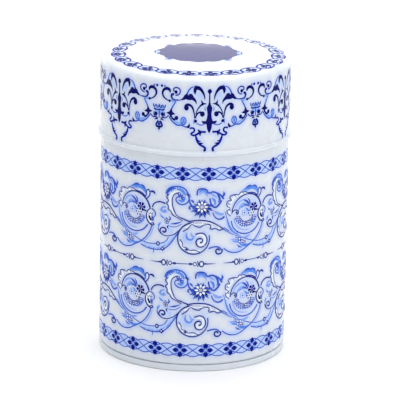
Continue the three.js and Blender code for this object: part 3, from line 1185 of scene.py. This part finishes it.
# %% The small round scroll
def round_scroll():
    x, y = 25.85, -8.4
    return [
        leaf("pale", (22.4, -5.6, 0.4), (22.4, -8.6, 1.5), (24.4, -9.9, 1.4), (26.0, -8.6, 0.5)),
        leaf("sky", (23.2, -5.8, 0.2), (23.2, -8.2, 0.9), (24.8, -9.0, 0.9), (26.0, -7.8, 0.3)),
        leaf("leaf", (24.8, -6.0, 0.2), (25.4, -7.4, 0.8), (26.6, -7.6, 0.2)),
        pen("bare", 1.2, *bow(x, y, 5.5, 5.5, 195, 300, 6), to=0.7),
        pen("line", 0.5, *bow(x, y, 6.35, 6.5, 88, 372, 16), to=0.36),
        pen(
            "line", 0.3, (20.4, -8.9), (21.4, -10.4), (21.6, -11.8), (23.2, -12.4),
            (24.3, -13.4), (26.2, -13.2), (28.4, -14.0),
        ),
        *rays("line", 23.4, -12.6, 3, 0.2, 1.3, 0.4, 200, 70),
        leaf("pale", (30.2, -11.4, 0.3), (31.2, -9.6, 0.9), (31.1, -7.4, 0.8), (29.8, -5.4, 0.3)),
        leaf("bare", (27.0, -7.2, 0.4), (29.2, -6.9, 1.1), (30.5, -8.6, 1.3), (29.9, -10.6, 1.3)),
        leaf("bare", (29.9, -10.6, 1.3), (28.4, -11.1, 1.1), (27.9, -9.8, 0.9), (28.8, -9.0, 0.4)),
        pen(
            "line", 0.44, (26.6, -6.7), (29.4, -6.2), (31.1, -8.2), (30.6, -10.9),
            (28.4, -11.9), (26.9, -10.4), (27.5, -8.6), (28.9, -8.4), to=0.5,
        ),
        pen("line", 0.3, (28.4, -8.1), (29.4, -8.9), (29.2, -10.0), (28.4, -10.0), to=0.5),
    ]


# %% The long leaf over the round scroll
def long_leaf():
    top = [(23.6, -1.5), (26.0, -1.0), (29.3, -0.9), (32.2, -1.4), (34.6, -2.6), (37.9, -4.7)]
    under = [(37.9, -4.7), (36.0, -5.2), (34.7, -4.3), (32.4, -4.5), (32.6, -3.1), (29.8, -2.8)]
    under += [(28.5, -3.7), (26.6, -3.3), (25.1, -2.6), (23.6, -4.3), (21.6, -5.6)]
    return [
        leaf("bare", (22.6, -3.9, 0.6), (26.2, -2.2, 1.2), (31.0, -2.3, 1.5), (36.4, -4.3, 0.9)),
        pen("line", 0.42, *top),
        pen("line", 0.36, *under),
        pen("line", 0.26, (25.6, -2.0), (29.0, -1.9), (32.6, -2.6), (35.6, -4.0), to=0.12),
        pen("mid", 0.36, (37.7, -4.8), (39.8, -6.2), (42.2, -7.6), to=0.16),
        pen("mid", 0.44, (31.9, -12.6), (34.1, -12.0), (36.0, -12.2), (37.3, -13.4)),
        pen("line", 0.44, *volute(35.9, -13.7, 1.75, 20, -1.05, 9), to=0.6),
    ]


# %% The tall curl of acanthus
def tall_curl():
    inner = [(23.9, -1.3), (21.4, -0.3), (19.1, 0.9), (17.7, 3.4), (17.1, 6.1)]
    inner += [(17.4, 8.7), (18.6, 9.9), (20.0, 10.3)]
    outer = [(21.4, -1.2), (19.0, 0.2), (17.2, 1.2), (16.7, 2.5), (15.5, 3.2), (15.6, 4.5)]
    outer += [(14.8, 5.8), (15.7, 6.7), (14.8, 8.2), (15.7, 9.4)]
    crest = [(14.5, 9.6), (15.6, 11.6), (17.8, 12.7), (20.2, 12.8), (22.3, 11.8)]
    crest += [(23.5, 9.9), (23.8, 7.6), (22.8, 6.1), (20.9, 5.5), (19.3, 6.2), (18.6, 7.4)]
    return [
        pen("pale", 1.5, *crest[1:9], to=1.0),
        leaf("bare", (21.9, -0.8, 0.4), (18.2, 1.6, 1.0), (16.5, 4.6, 1.5), (16.2, 7.6, 1.5)),
        leaf("bare", (16.2, 7.4, 1.4), (17.0, 9.7, 1.2), (18.8, 10.9, 0.7), (20.4, 11.0, 0.2)),
        pen("line", 0.44, *inner, to=0.3),
        pen("line", 0.32, *outer, to=0.4),
        pen("mid", 0.6, *crest[:6], to=0.5),
        pen("mid", 0.5, *crest[5:], (19.2, 8.5), (20.3, 8.5), to=0.35),
        *rays("sky", 19.0, 9.6, 7, 2.2, 3.3, 0.7, 20, 130),
        leaf("mid", (15.0, 9.0, 0.2), (15.4, 10.6, 0.9), (16.9, 11.9, 0.8), (18.4, 12.0, 0.2)),
        leaf("sky", (18.9, 11.6, 0.2), (20.4, 11.5, 0.9), (21.9, 10.4, 0.9), (22.4, 8.9, 0.2)),
        leaf("sky", (19.6, 7.4, 0.3), (20.9, 6.9, 1.1), (22.0, 7.7, 0.8), (21.8, 8.8, 0.2)),
        *rays("mid", 20.2, 8.4, 5, 0.4, 2.0, 0.5, -30, 150),
        *rays("line", 23.3, 9.2, 4, 0.1, 1.3, 0.4, -10, 130),
    ]


# %% The rosette and the leaves round it
def rosette():
    x, y = 29.0, 4.7
    right = [(27.0, 9.5), (27.3, 11.6), (29.0, 12.2), (30.8, 11.6), (31.6, 10.4)]
    right += [(33.2, 10.8), (35.1, 10.2), (36.8, 9.0), (37.7, 7.6)]
    return [
        leaf("pale", (32.0, 9.6, 0.4), (34.0, 9.2, 1.2), (36.0, 8.0, 1.0), (36.9, 6.4, 0.3)),
        *rays("mid", x, y, 8, 1.8, 4.9, 0.8, 178, 190),
        *rays("navy", x, y, 7, 1.6, 4.0, 0.62, 190, 160),
        *rays("mid", x, y, 4, 1.8, 3.3, 0.7, 20, 140),
        *rays("line", x, y, 8, 0.8, 2.9, 1.5, 90, 315),
        *rays("bare", x, y, 8, 0.9, 2.6, 0.95, 90, 315),
        dot("line", x, y, 1.0),
        dot("bare", x, y, 0.7),
        *petals("line", x, y, 4, 0.38, 0.18, 90),
        pen("mid", 0.5, *right, to=0.6),
        leaf("leaf", (28.0, 9.8, 0.2), (29.0, 10.9, 1.0), (30.5, 10.2, 0.8), (31.4, 8.9, 0.2)),
        leaf("sky", (27.6, 10.6, 0.2), (28.9, 11.6, 0.7), (30.2, 11.1, 0.6), (31.2, 10.0, 0.1)),
        leaf("mid", (34.8, 10.0, 0.2), (35.7, 8.9, 0.8), (36.0, 7.5, 0.7), (35.5, 6.3, 0.1)),
        leaf("leaf", (32.4, 10.2, 0.2), (33.6, 9.4, 0.8), (34.9, 8.6, 0.2)),
        pen("mid", 0.5, (32.1, 8.2), (32.6, 5.9), (34.1, 4.4), (35.6, 5.2), (36.8, 7.2), to=0.7),
        leaf("sky", (32.8, 8.4, 0.2), (33.9, 7.4, 1.0), (34.3, 6.0, 0.8), (34.0, 5.2, 0.1)),
        leaf("mid", (36.9, 8.2, 0.3), (37.9, 9.6, 0.8), (37.6, 10.8, 0.1)),
        pen("mid", 0.36, (33.4, 2.3), (34.1, 0.6), (35.5, -0.5), (37.0, -0.5), (38.2, 0.4), to=0.6),
        leaf("leaf", (33.9, 3.0, 0.2), (35.2, 1.9, 1.2), (36.9, 1.3, 0.9), (38.0, 1.6, 0.1)),
        pen("mid", 0.4, (23.8, 9.0), (24.1, 6.6), (25.1, 4.9), (26.2, 3.9), to=0.7),
        leaf("mid", (24.4, 7.6, 0.1), (25.3, 7.0, 0.7), (25.9, 6.1, 0.1)),
        leaf("mid", (24.2, 5.2, 0.1), (24.0, 4.2, 0.7), (24.6, 3.4, 0.1)),
    ]


# %% Print both friezes
FRIEZE_REPEATS = 5
FRIEZE_TURN = -38.7
UPPER_FRIEZE = 64.33
LOWER_FRIEZE = 29.73
FINE_WEIGHT = 1.15  # the friezes' outlines are printed a little full


def frieze_unit():
    unit = [
        *swag(),
        *middle_stems(),
        *large_scroll_leaves(),
        *large_scroll_lines(),
        *large_scroll_flowers(),
        *bell_bud(),
        *round_scroll(),
        *tall_curl(),
        *long_leaf(),
        *rosette(),
    ]
    return [
        (ink, [(x, y, w * (FINE_WEIGHT if ink in ("line", "mid") else 1)) for x, y, w in points])
        for ink, points in unit
    ]


for name, height in (("upper_frieze", UPPER_FRIEZE), ("lower_frieze", LOWER_FRIEZE)):
    print_piece(
        name + "_print",
        "tin",
        frieze_unit(),
        FRIEZE_REPEATS,
        on_wall(FRIEZE_TURN, height),
        step=None,
    )

# %% [markdown]
# ## The lid's side
#
# A deep border hangs from the shoulder: a large tree of scrolls and a small pendant, in
# turn, six of each. Both are the same on their left and right, so only the right half of
# each is drawn and mirrored. Heights are above the lid's lower edge.

# %% The large tree
def tree_middle():
    trunk = [(25.5, 0.45), (22, 0.5), (21, 0.9), (19.7, 2.0), (18.5, 1.7), (17, 1.35)]
    trunk += [(15.5, 1.7), (14.3, 2.4), (13, 1.9), (11.5, 1.6), (10.2, 0.9), (9.4, 0.1)]
    return [dot("navy", 0, 26.4, 0.85), leaf("navy", *((0, y, w) for y, w in trunk))]


def tree_leaves():
    return [
        leaf("pale", (6.2, 27.2, 0.6), (7.2, 26.4, 2.2), (8.0, 24.9, 0.8)),
        leaf("pale", (3.9, 26.0, 0.4), (3.6, 24.6, 1.6), (3.3, 23.2, 0.5)),
        leaf("navy", (0, 13.9, 1.2), (1.4, 13.7, 1.1), (2.4, 13.9, 0.9), (2.9, 14.4, 0.2)),
        leaf(
            "navy", (5.7, 25.2, 0.2), (5.85, 26.4, 1.0), (5.5, 27.6, 1.3), (4.6, 27.8, 1.4),
            (3.4, 27.0, 1.0), (2.5, 25.6, 0.7), (2.0, 24.0, 0.45), (1.9, 22.8, 0.1),
        ),
        leaf("navy", (5.4, 27.4, 1.4), (5.5, 28.1, 0.9), (5.6, 28.9, 0.1)),
        leaf("mid", (5.7, 28.3, 0.3), (7.2, 27.9, 0.36), (8.2, 26.8, 0.5), (8.9, 25.3, 0.6)),
        leaf("navy", (8.8, 25.4, 0.4), (9.3, 24.4, 1.3), (10.2, 23.3, 1.0), (11.6, 22.7, 0.15)),
        leaf(
            "navy", (9.6, 24.0, 1.2), (8.4, 23.8, 1.7), (7.4, 23.9, 2.0), (6.4, 23.3, 1.1),
            (5.6, 22.5, 0.7), (5.15, 21.2, 0.15),
        ),
        dot("navy", 7.5, 24.3, 1.0),
    ]


def tree_curls():
    return [
        dot("navy", 9.1, 19.6, 0.95),
        leaf(
            "navy", (9.7, 20.1, 0.8), (8.7, 20.9, 1.0), (7.6, 20.7, 0.8), (6.7, 19.7, 0.65),
            (6.2, 18.2, 0.5), (5.9, 16.6, 0.4), (5.8, 15.4, 0.3),
        ),
        dot("navy", 2.8, 17.2, 0.95),
        pen("navy", 0.7, (3.3, 18.0), (4.5, 17.6), (5.2, 16.5), (5.6, 15.4), to=0.35),
        leaf(
            "navy", (5.4, 17.0, 0.3), (4.8, 18.8, 0.38), (3.8, 20.3, 0.5), (2.9, 21.1, 0.8),
            (2.0, 21.4, 0.5), (1.2, 21.3, 0.15),
        ),
        leaf("navy", (3.3, 22.9, 0.1), (3.0, 22.0, 0.55), (2.6, 21.3, 0.8)),
        dot("navy", 5.4, 14.3, 0.6),
        pen("mid", 0.35, (5, 13.5), (3.8, 12.8), (2.7, 12.8), (1.5, 13.3)),
        pen("mid", 0.3, (5.9, 15.2), (6.1, 14.0), (6.0, 13.2)),
        pen("mid", 0.3, (1.4, 18.6), (1.9, 19.3), (1.6, 20.2), to=0.12),
    ]


# %% The frame line and the chain under the tree
def tree_chain():
    return [
        leaf("pale", (14.2, 21.9, 1.3), (14.6, 20.6, 1.4), (15.0, 19.2, 0.7)),
        leaf("pale", (9.4, 12.9, 0.7), (11.2, 13.4, 1.9), (13.2, 14.0, 1.9), (14.8, 15.3, 0.8)),
        leaf("leaf", (9.6, 12.7, 0.3), (11.4, 13.0, 0.9), (13.2, 13.6, 0.9), (14.6, 14.8, 0.3)),
        pen("mid", 0.4, (11.4, 22.7), (13.0, 22.5), (14.2, 22.8)),
        leaf("mid", (13.3, 22.1, 0.4), (14.0, 20.8, 0.45), (14.7, 19.6, 0.5), (15.2, 18.3, 0.5)),
        *spikes("navy", 15.3, 17.1, 1.5, ((15.1, 19.2), (13.5, 16.8), (15.4, 15.4), (17.1, 17.2))),
        dot("navy", 13.0, 15.3, 0.75),
        pen("navy", 0.5, (15.1, 15.9), (14.4, 14.8), (13.4, 14.6), to=0.9),
        pen(
            "mid", 0.5, (16, 15.7), (15, 14.2), (13.7, 13.0), (12.3, 12.3), (11.2, 12.5),
            (10.2, 12.2), (9, 11.8), (8.2, 12),
        ),
        pen("sky", 0.9, (10.2, 13.3), (10.2, 15.3)),
        pen("mid", 0.38, *bow(10.2, 14.3, 1.0, 1.45, -90, 290, 12)),
        leaf("navy", (9, 11.7, 0.3), (8.3, 11.9, 1.0), (7.9, 12.6, 0.6), (7.85, 13.3, 0.1)),
        pen(
            "royal", 0.6, (7.7, 11.3), (6.5, 11.5), (5.8, 10.7), (6.2, 9.8), (7.1, 9.2),
            (6.3, 8.5), (5.3, 8.7), (4.3, 9.3), (3.5, 9.8), (1.3, 9.9), to=0.75,
        ),
        pen("navy", 0.5, (4.3, 10.9), (4.0, 10.3), (3.3, 10.0), to=0.8),
        pen("navy", 0.4, (3.5, 8.4), (3.6, 9.0), (3.3, 9.6), to=0.7),
        leaf("royal", (5.3, 8.5, 0.5), (5, 7.3, 0.8), (4.5, 6.3, 0.9), (3.2, 6.1, 0.2)),
        pen(
            "royal", 0.6, (5.0, 6.9), (4.5, 5.8), (3.7, 4.8), (2.3, 4.0), (1.5, 3.2),
            (1.7, 2.3), to=0.85,
        ),
        leaf("navy", (3.9, 5.2, 0.8), (3.0, 5.2, 0.6), (2.2, 5.4, 0.1)),
        dot("navy", 1.7, 2.4, 0.5),
    ]


# %% The small pendant
def pendant():
    return [
        leaf("leaf", (6.6, 22.0, 0.3), (5.8, 22.2, 1.2), (5.0, 22.3, 0.8), (4.5, 22.2, 0.3)),
        pen(
            "royal", 0.4, (7.7, 22.7), (6.2, 22.6), (5.3, 23.2), (5.0, 24.2), (5.4, 24.9),
            (6.0, 24.7), to=0.9,
        ),
        pen(
            "royal", 0.45, (6.6, 24.4), (8.0, 25.0), (8.5, 26.3), (7.8, 27.4), (6.6, 27.6),
            (5.8, 26.9), (6.1, 26.0),
        ),
        dot("navy", 6.8, 25.8, 0.65),
        leaf(
            "navy", (4.5, 25.4, 0.3), (4.1, 26.6, 1.0), (3, 27, 1.15), (1.8, 26.3, 0.9),
            (1.3, 25, 0.7), (1.7, 23.7, 0.55), (2.7, 22.7, 0.45), (3.8, 22.2, 0.4),
        ),
        dot("navy", 4.25, 22.1, 0.5),
        dot("royal", 1.0, 27.9, 0.5),
        dot("royal", 2.2, 27.9, 0.32),
        leaf("leaf", (2.6, 19.6, 0.4), (1.2, 19.2, 1.3), (0, 19.2, 1.4)),
        pen("line", 0.34, (2.6, 20.3), (2.1, 19.0), (1.3, 20.1), (0.7, 18.9), (0, 20.3)),
        pen("royal", 0.55, (2.3, 18.4), (1.1, 18.0), (0, 18.1)),
        leaf("leaf", (1.9, 17.4, 0.5), (0.8, 17.1, 1.4), (0, 17.0, 1.6)),
        pen("royal", 0.3, (2.2, 17.2), (2.3, 16.0), (1.5, 15.0), (0.5, 14.8)),
        dot("navy", 1.4, 16.3, 0.7),
        pen("royal", 0.4, (3.9, 16.1), (2.4, 14.9), (1.1, 15.3)),
        leaf("navy", (1.9, 13.9, 0.2), (1.3, 14.3, 0.6), (0.5, 14.2, 0.3)),
        pen("navy", 0.5, (0.4, 13.6), (1.1, 12.5), (1.15, 11.4), (0, 11.1), to=0.7),
    ]


def pendant_middle():
    return [
        pen("royal", 0.3, (0, 18.2), (0, 16.5), (0, 14.8)),
        leaf("mid", (0, 13.5, 0.3), (0, 12.5, 1.2), (0, 11.4, 1.0)),
        dot("navy", 0, 10.4, 0.42),
        leaf("navy", (0, 10.6, 0.4), (0, 10.1, 0.2), (0, 9.6, 0.06)),
        pen("line", 0.3, (-0.5, 12.6), (0, 12.1), (0.5, 12.6)),
    ]


# %% Print the lid's side
TREE_REPEATS = 6
TREE_TURN = 8.4
TREE_GAP = pi * LID_R / TREE_REPEATS  # from the middle of a tree to the next pendant


TREE_WEIGHT = 1.15  # the lid is printed with a fuller pen


def lid_side_unit():
    unit = [
        *mirrored(tree_chain()),
        *mirrored(tree_leaves()),
        *mirrored(tree_curls()),
        *tree_middle(),
        *shifted(mirrored(pendant()), TREE_GAP),
        *shifted(pendant_middle(), TREE_GAP),
    ]
    return [
        (ink, [(x, y, width * TREE_WEIGHT) for x, y, width in points])
        for ink, points in unit
    ]


print_piece(
    "lid_side_print",
    "outer_lid",
    lid_side_unit(),
    TREE_REPEATS,
    on_lid_side(TREE_TURN, LID_BOTTOM + 0.1),
)

# %% [markdown]
# ## The lid's top
#
# The same flower in its lens runs round the top's edge as a ring. In the middle lies a
# dark panel with a scalloped edge and small flourishes. It is left blank. The panel is
# too wide for a ribbon, because the top is crowned, so it is a filled circle, inset in
# rings that are then raised to the crown.

# %% Off centre
TOP_PRINT_SHIFT = 0.9  # to the right


def shift_on_crown(bm):
    """Moves a print a little off the lid's middle, and lays it on the crown again."""
    for vert in bm.verts:
        proud = vert.co.z - crown_height(vert.co.xy.length)
        vert.co.x += TOP_PRINT_SHIFT
        vert.co.z = crown_height(vert.co.xy.length) + proud


# %% The ring of flowers
RING_REPEATS = 23
RING_R = 32.4
RING_TURN = 9.0


def ring_unit():
    pitch = 2 * pi * RING_R / RING_REPEATS
    loop = bow(0, -0.2, pitch * 0.53, 2.75, 90, 450, 14)
    petal = [(0.3, 0, 0.8), (1.0, 0, 2.1), (1.8, 0, 2.5), (2.9, 0, 0.3)]
    strokes = [
        leaf(
            "bare", (-pitch / 2, 0, 2.2), (-2.4, 0, 4.0), (0, 0, 4.8), (2.4, 0, 4.0),
            (pitch / 2, 0, 2.2),
        ),
        leaf("pale", (-4.2, 0, 0.6), (-2.6, 0, 3.0), (0, 0, 3.9), (2.6, 0, 3.0), (4.2, 0, 0.6)),
        pen("royal", 0.8, *loop),
        leaf("navy", (0, 0.2, 0.7), (0, 0.9, 2.0), (0, 1.6, 1.9), (0, 2.5, 0.2)),
        leaf("navy", (0, -0.2, 0.7), (0, -1.1, 1.9), (0, -2.2, 1.8), (0, -3.3, 0.2)),
    ]
    for side in (1, -1):
        strokes.append(leaf("navy", *((side * x, 0.15, w) for x, _, w in petal)))
        strokes.append(pen("royal", 0.45, (side * 0.4, 2.3), (side * 1.2, 1.4), (side * 2.6, 1.8)))
    return strokes


print_piece(
    "lid_ring_print",
    "outer_lid",
    ring_unit(),
    RING_REPEATS,
    on_lid_top(RING_TURN, RING_R),
    haze=0.3,
    settle=shift_on_crown,
)

# %% The blank panel in the middle
PANEL_R = 15.3
PANEL_LOBES = 14
PANEL_LOBE = 0.85
PANEL_RINGS = 8


def blank_panel():
    """A flat turning that follows the crown, its rim swollen into lobes."""
    rings = [PANEL_R * i / PANEL_RINGS for i in range(PANEL_RINGS + 1)]
    top = [(across, crown_height(across) + INK_PROUD) for across in rings]
    low = [(across, crown_height(across) - INK_SUNK) for across in reversed(rings)]
    bm = spun([*top, *low], 12 * PANEL_LOBES)
    for vert in bm.verts:
        if vert.co.xy.length > PANEL_R - 0.1:
            turn = atan2(vert.co.y, vert.co.x)
            swell = 1 + PANEL_LOBE / PANEL_R * abs(sin(PANEL_LOBES * turn / 2))
            vert.co.x *= swell
            vert.co.y *= swell
    for edge in bm.edges:
        edge.smooth = edge.calc_face_angle(0) < radians(40)
    shift_on_crown(bm)
    return make_object("lid_panel_print", bm, [PANEL_INK])


panel = blank_panel()
finish_piece(panel, "outer_lid", "blue_print")

# %% Its flourishes
def corner_flourish():
    half = [
        pen("mid", 0.34, (0, 0.4), (0.9, 0.9), (1.3, 1.9), to=0.5),
        pen("mid", 0.3, (0, 1.2), (0.5, 2.0), (0.2, 2.8), to=0.2),
    ]
    return [*mirrored(half), dot("royal", 0, 1.2, 0.4)]


def side_flourish():
    half = [
        leaf("leaf", (0.4, 0.5, 0.6), (2.0, 0.6, 1.2), (3.6, 0.3, 0.4)),
        pen("mid", 0.34, (0, 1.6), (1.2, 1.7), (2.5, 1.0), (3.8, 0.9), to=0.5),
        pen("mid", 0.3, (1.6, 1.5), (2.2, 2.0), (1.9, 2.5), to=0.2),
    ]
    return [*mirrored(half), dot("royal", 0, 1.9, 0.5)]


for name, unit, repeats, turn in (
    ("lid_corner_flourish", corner_flourish(), 4, 45),
    ("lid_side_flourish", side_flourish(), 2, 90),
):
    wrap = on_lid_top(turn, PANEL_R + 0.3)
    print_piece(name, "outer_lid", unit, repeats, wrap, 0.3, shift_on_crown)

# %% [markdown]
# ## The blue that bled
#
# The enamel takes a little blue beside each stroke. Now that the print is in place, each
# point of the two white shells measures its distance to the nearest ink, and stores how
# strong the wash is there. The rows of points are about as far apart as the wash is wide,
# so it stays a soft haze.

# %% Store the wash on the shells
BODY_WASH_REACH = 1.1 * MM
LID_WASH_REACH = 1.0 * MM


def store_wash(shell, spots, reach):
    tree = KDTree(len(spots))
    for index, (spot, _) in enumerate(spots):
        tree.insert(spot, index)
    tree.balance()
    wash = shell.data.attributes.new("wash", "FLOAT", "POINT")
    for vert, value in zip(shell.data.vertices, wash.data):
        _, index, away = tree.find(vert.co)
        value.value = spots[index][1] * exp(-((away / reach) ** 2))
    strongest = max(value.value for value in wash.data)
    print(f"{shell.name}: wash from {len(spots)} points, up to {strongest:.2f}")


store_wash(body, printed_spots["tin"], BODY_WASH_REACH)
store_wash(lid, printed_spots["outer_lid"], LID_WASH_REACH)

# %% [markdown]
# ## Camera, floor and light
#
# The view is from a little above, through a long lens, as for a catalogue. The floor is a
# plain pale sheet. One large softbox hangs over the tin, a small one stands at its right
# and one lights the floor behind it. The wall behind is bright low down and dark above,
# which the lid's glossy top mirrors.

# %% Camera
CAMERA_PLACE = Vector((0, -1346.8, 454.8)) * MM
PITCH = 0.2846
YAW = 0.0019
ROLL = 0.0172
LENS = 310.05
SENSOR = 36


def add_camera():
    """The camera looks slightly down at the tin through a long lens, a touch rolled."""
    data = bpy.data.cameras.new("camera")
    data.lens = LENS
    data.sensor_width = SENSOR
    camera = bpy.data.objects.new("camera", data)
    right = Vector((cos(YAW), -sin(YAW), 0))
    ahead = Vector((sin(YAW) * cos(PITCH), cos(YAW) * cos(PITCH), -sin(PITCH)))
    above = Vector((sin(YAW) * sin(PITCH), cos(YAW) * sin(PITCH), cos(PITCH)))
    rolled_right = right * cos(ROLL) + above * sin(ROLL)
    rolled_above = above * cos(ROLL) - right * sin(ROLL)
    turned = Matrix((rolled_right, rolled_above, -ahead)).transposed()
    camera.matrix_world = Matrix.Translation(CAMERA_PLACE) @ turned.to_4x4()
    bpy.context.scene.collection.objects.link(camera)
    bpy.context.scene.camera = camera


add_camera()

# %% Floor
FLOOR_HALF = 4000


def pale_floor():
    material, shader, add, join = new_material("pale floor")
    cloud = noise(add, join, 6, 2)
    shade = ramp(add, join, cloud, (0.93, 0.93, 0.93, 1), (0.96, 0.96, 0.96, 1))
    join(shade, shader.inputs["Base Color"])
    shader.inputs["Roughness"].default_value = 0.9
    shader.inputs["Specular IOR Level"].default_value = 0.1
    bm = bmesh.new()
    bmesh.ops.create_grid(bm, x_segments=4, y_segments=4, size=FLOOR_HALF)
    floor = make_object("floor", bm, [material])


pale_floor()

# %% Light
def softbox(name, place, aim, width, height, power):
    """A large area light, aimed at a point."""
    data = bpy.data.lights.new(name, "AREA")
    data.shape = "RECTANGLE"
    data.size, data.size_y = width, height
    data.energy = power
    light = bpy.data.objects.new(name, data)
    place, aim = Vector(place), Vector(aim)
    turn = (aim - place).to_track_quat("-Z", "Y").to_matrix().to_4x4()
    light.matrix_world = Matrix.Translation(place) @ turn
    bpy.context.scene.collection.objects.link(light)


SOFTBOXES = (  # name, place, the point it is aimed at, width, height, power
    ("top softbox", (0, -0.05, 1.4), (0, 0, 0.1), 1.8, 1.8, 31),
    ("right softbox", (1.3, -1.0, 0.7), (0, 0, 0.07), 1.0, 1.2, 4.4),
    ("back softbox", (0, 1.3, 1.3), (0, 0.75, 0), 1.6, 0.8, 8),
)
BACK_GLOW = 2.6  # of the wall behind, low down
FRONT_GLOW = 0.9  # of the room in front of the tin
WALL_STARTS, WALL_FULL = 0.6, 0.85  # how far back a direction points
GLOW_STEPS = ((9.0, 1.0), (12.0, 0.25), (20.5, 0.35), (25.5, 0.05))  # (degrees up, share)


def studio():
    world = bpy.data.worlds.new("studio")
    bpy.context.scene.world = world
    world.use_nodes = True
    tree = world.node_tree
    tree.nodes.clear()
    out = tree.nodes.new("ShaderNodeOutputWorld")
    glow = tree.nodes.new("ShaderNodeBackground")
    place = tree.nodes.new("ShaderNodeTexCoord")
    split = tree.nodes.new("ShaderNodeSeparateXYZ")
    upwards = tree.nodes.new("ShaderNodeValToRGB")
    stops = upwards.color_ramp.elements
    while len(stops) < len(GLOW_STEPS):
        stops.new(0.5)
    for stop, (angle, share) in zip(stops, GLOW_STEPS):
        stop.position = sin(radians(angle))
        stop.color = (share, share, share, 1)
    depth = tree.nodes.new("ShaderNodeMapRange")
    depth.inputs["From Min"].default_value = WALL_STARTS
    depth.inputs["From Max"].default_value = WALL_FULL
    depth.inputs["To Min"].default_value = FRONT_GLOW
    depth.inputs["To Max"].default_value = BACK_GLOW
    tree.links.new(place.outputs["Generated"], split.inputs[0])
    tree.links.new(split.outputs["Z"], upwards.inputs["Fac"])
    tree.links.new(split.outputs["Y"], depth.inputs["Value"])
    tree.links.new(upwards.outputs["Color"], glow.inputs["Color"])
    tree.links.new(depth.outputs["Result"], glow.inputs["Strength"])
    tree.links.new(glow.outputs[0], out.inputs[0])
    for settings in SOFTBOXES:
        softbox(*settings)
    bpy.context.scene.view_settings.view_transform = "Standard"


studio()
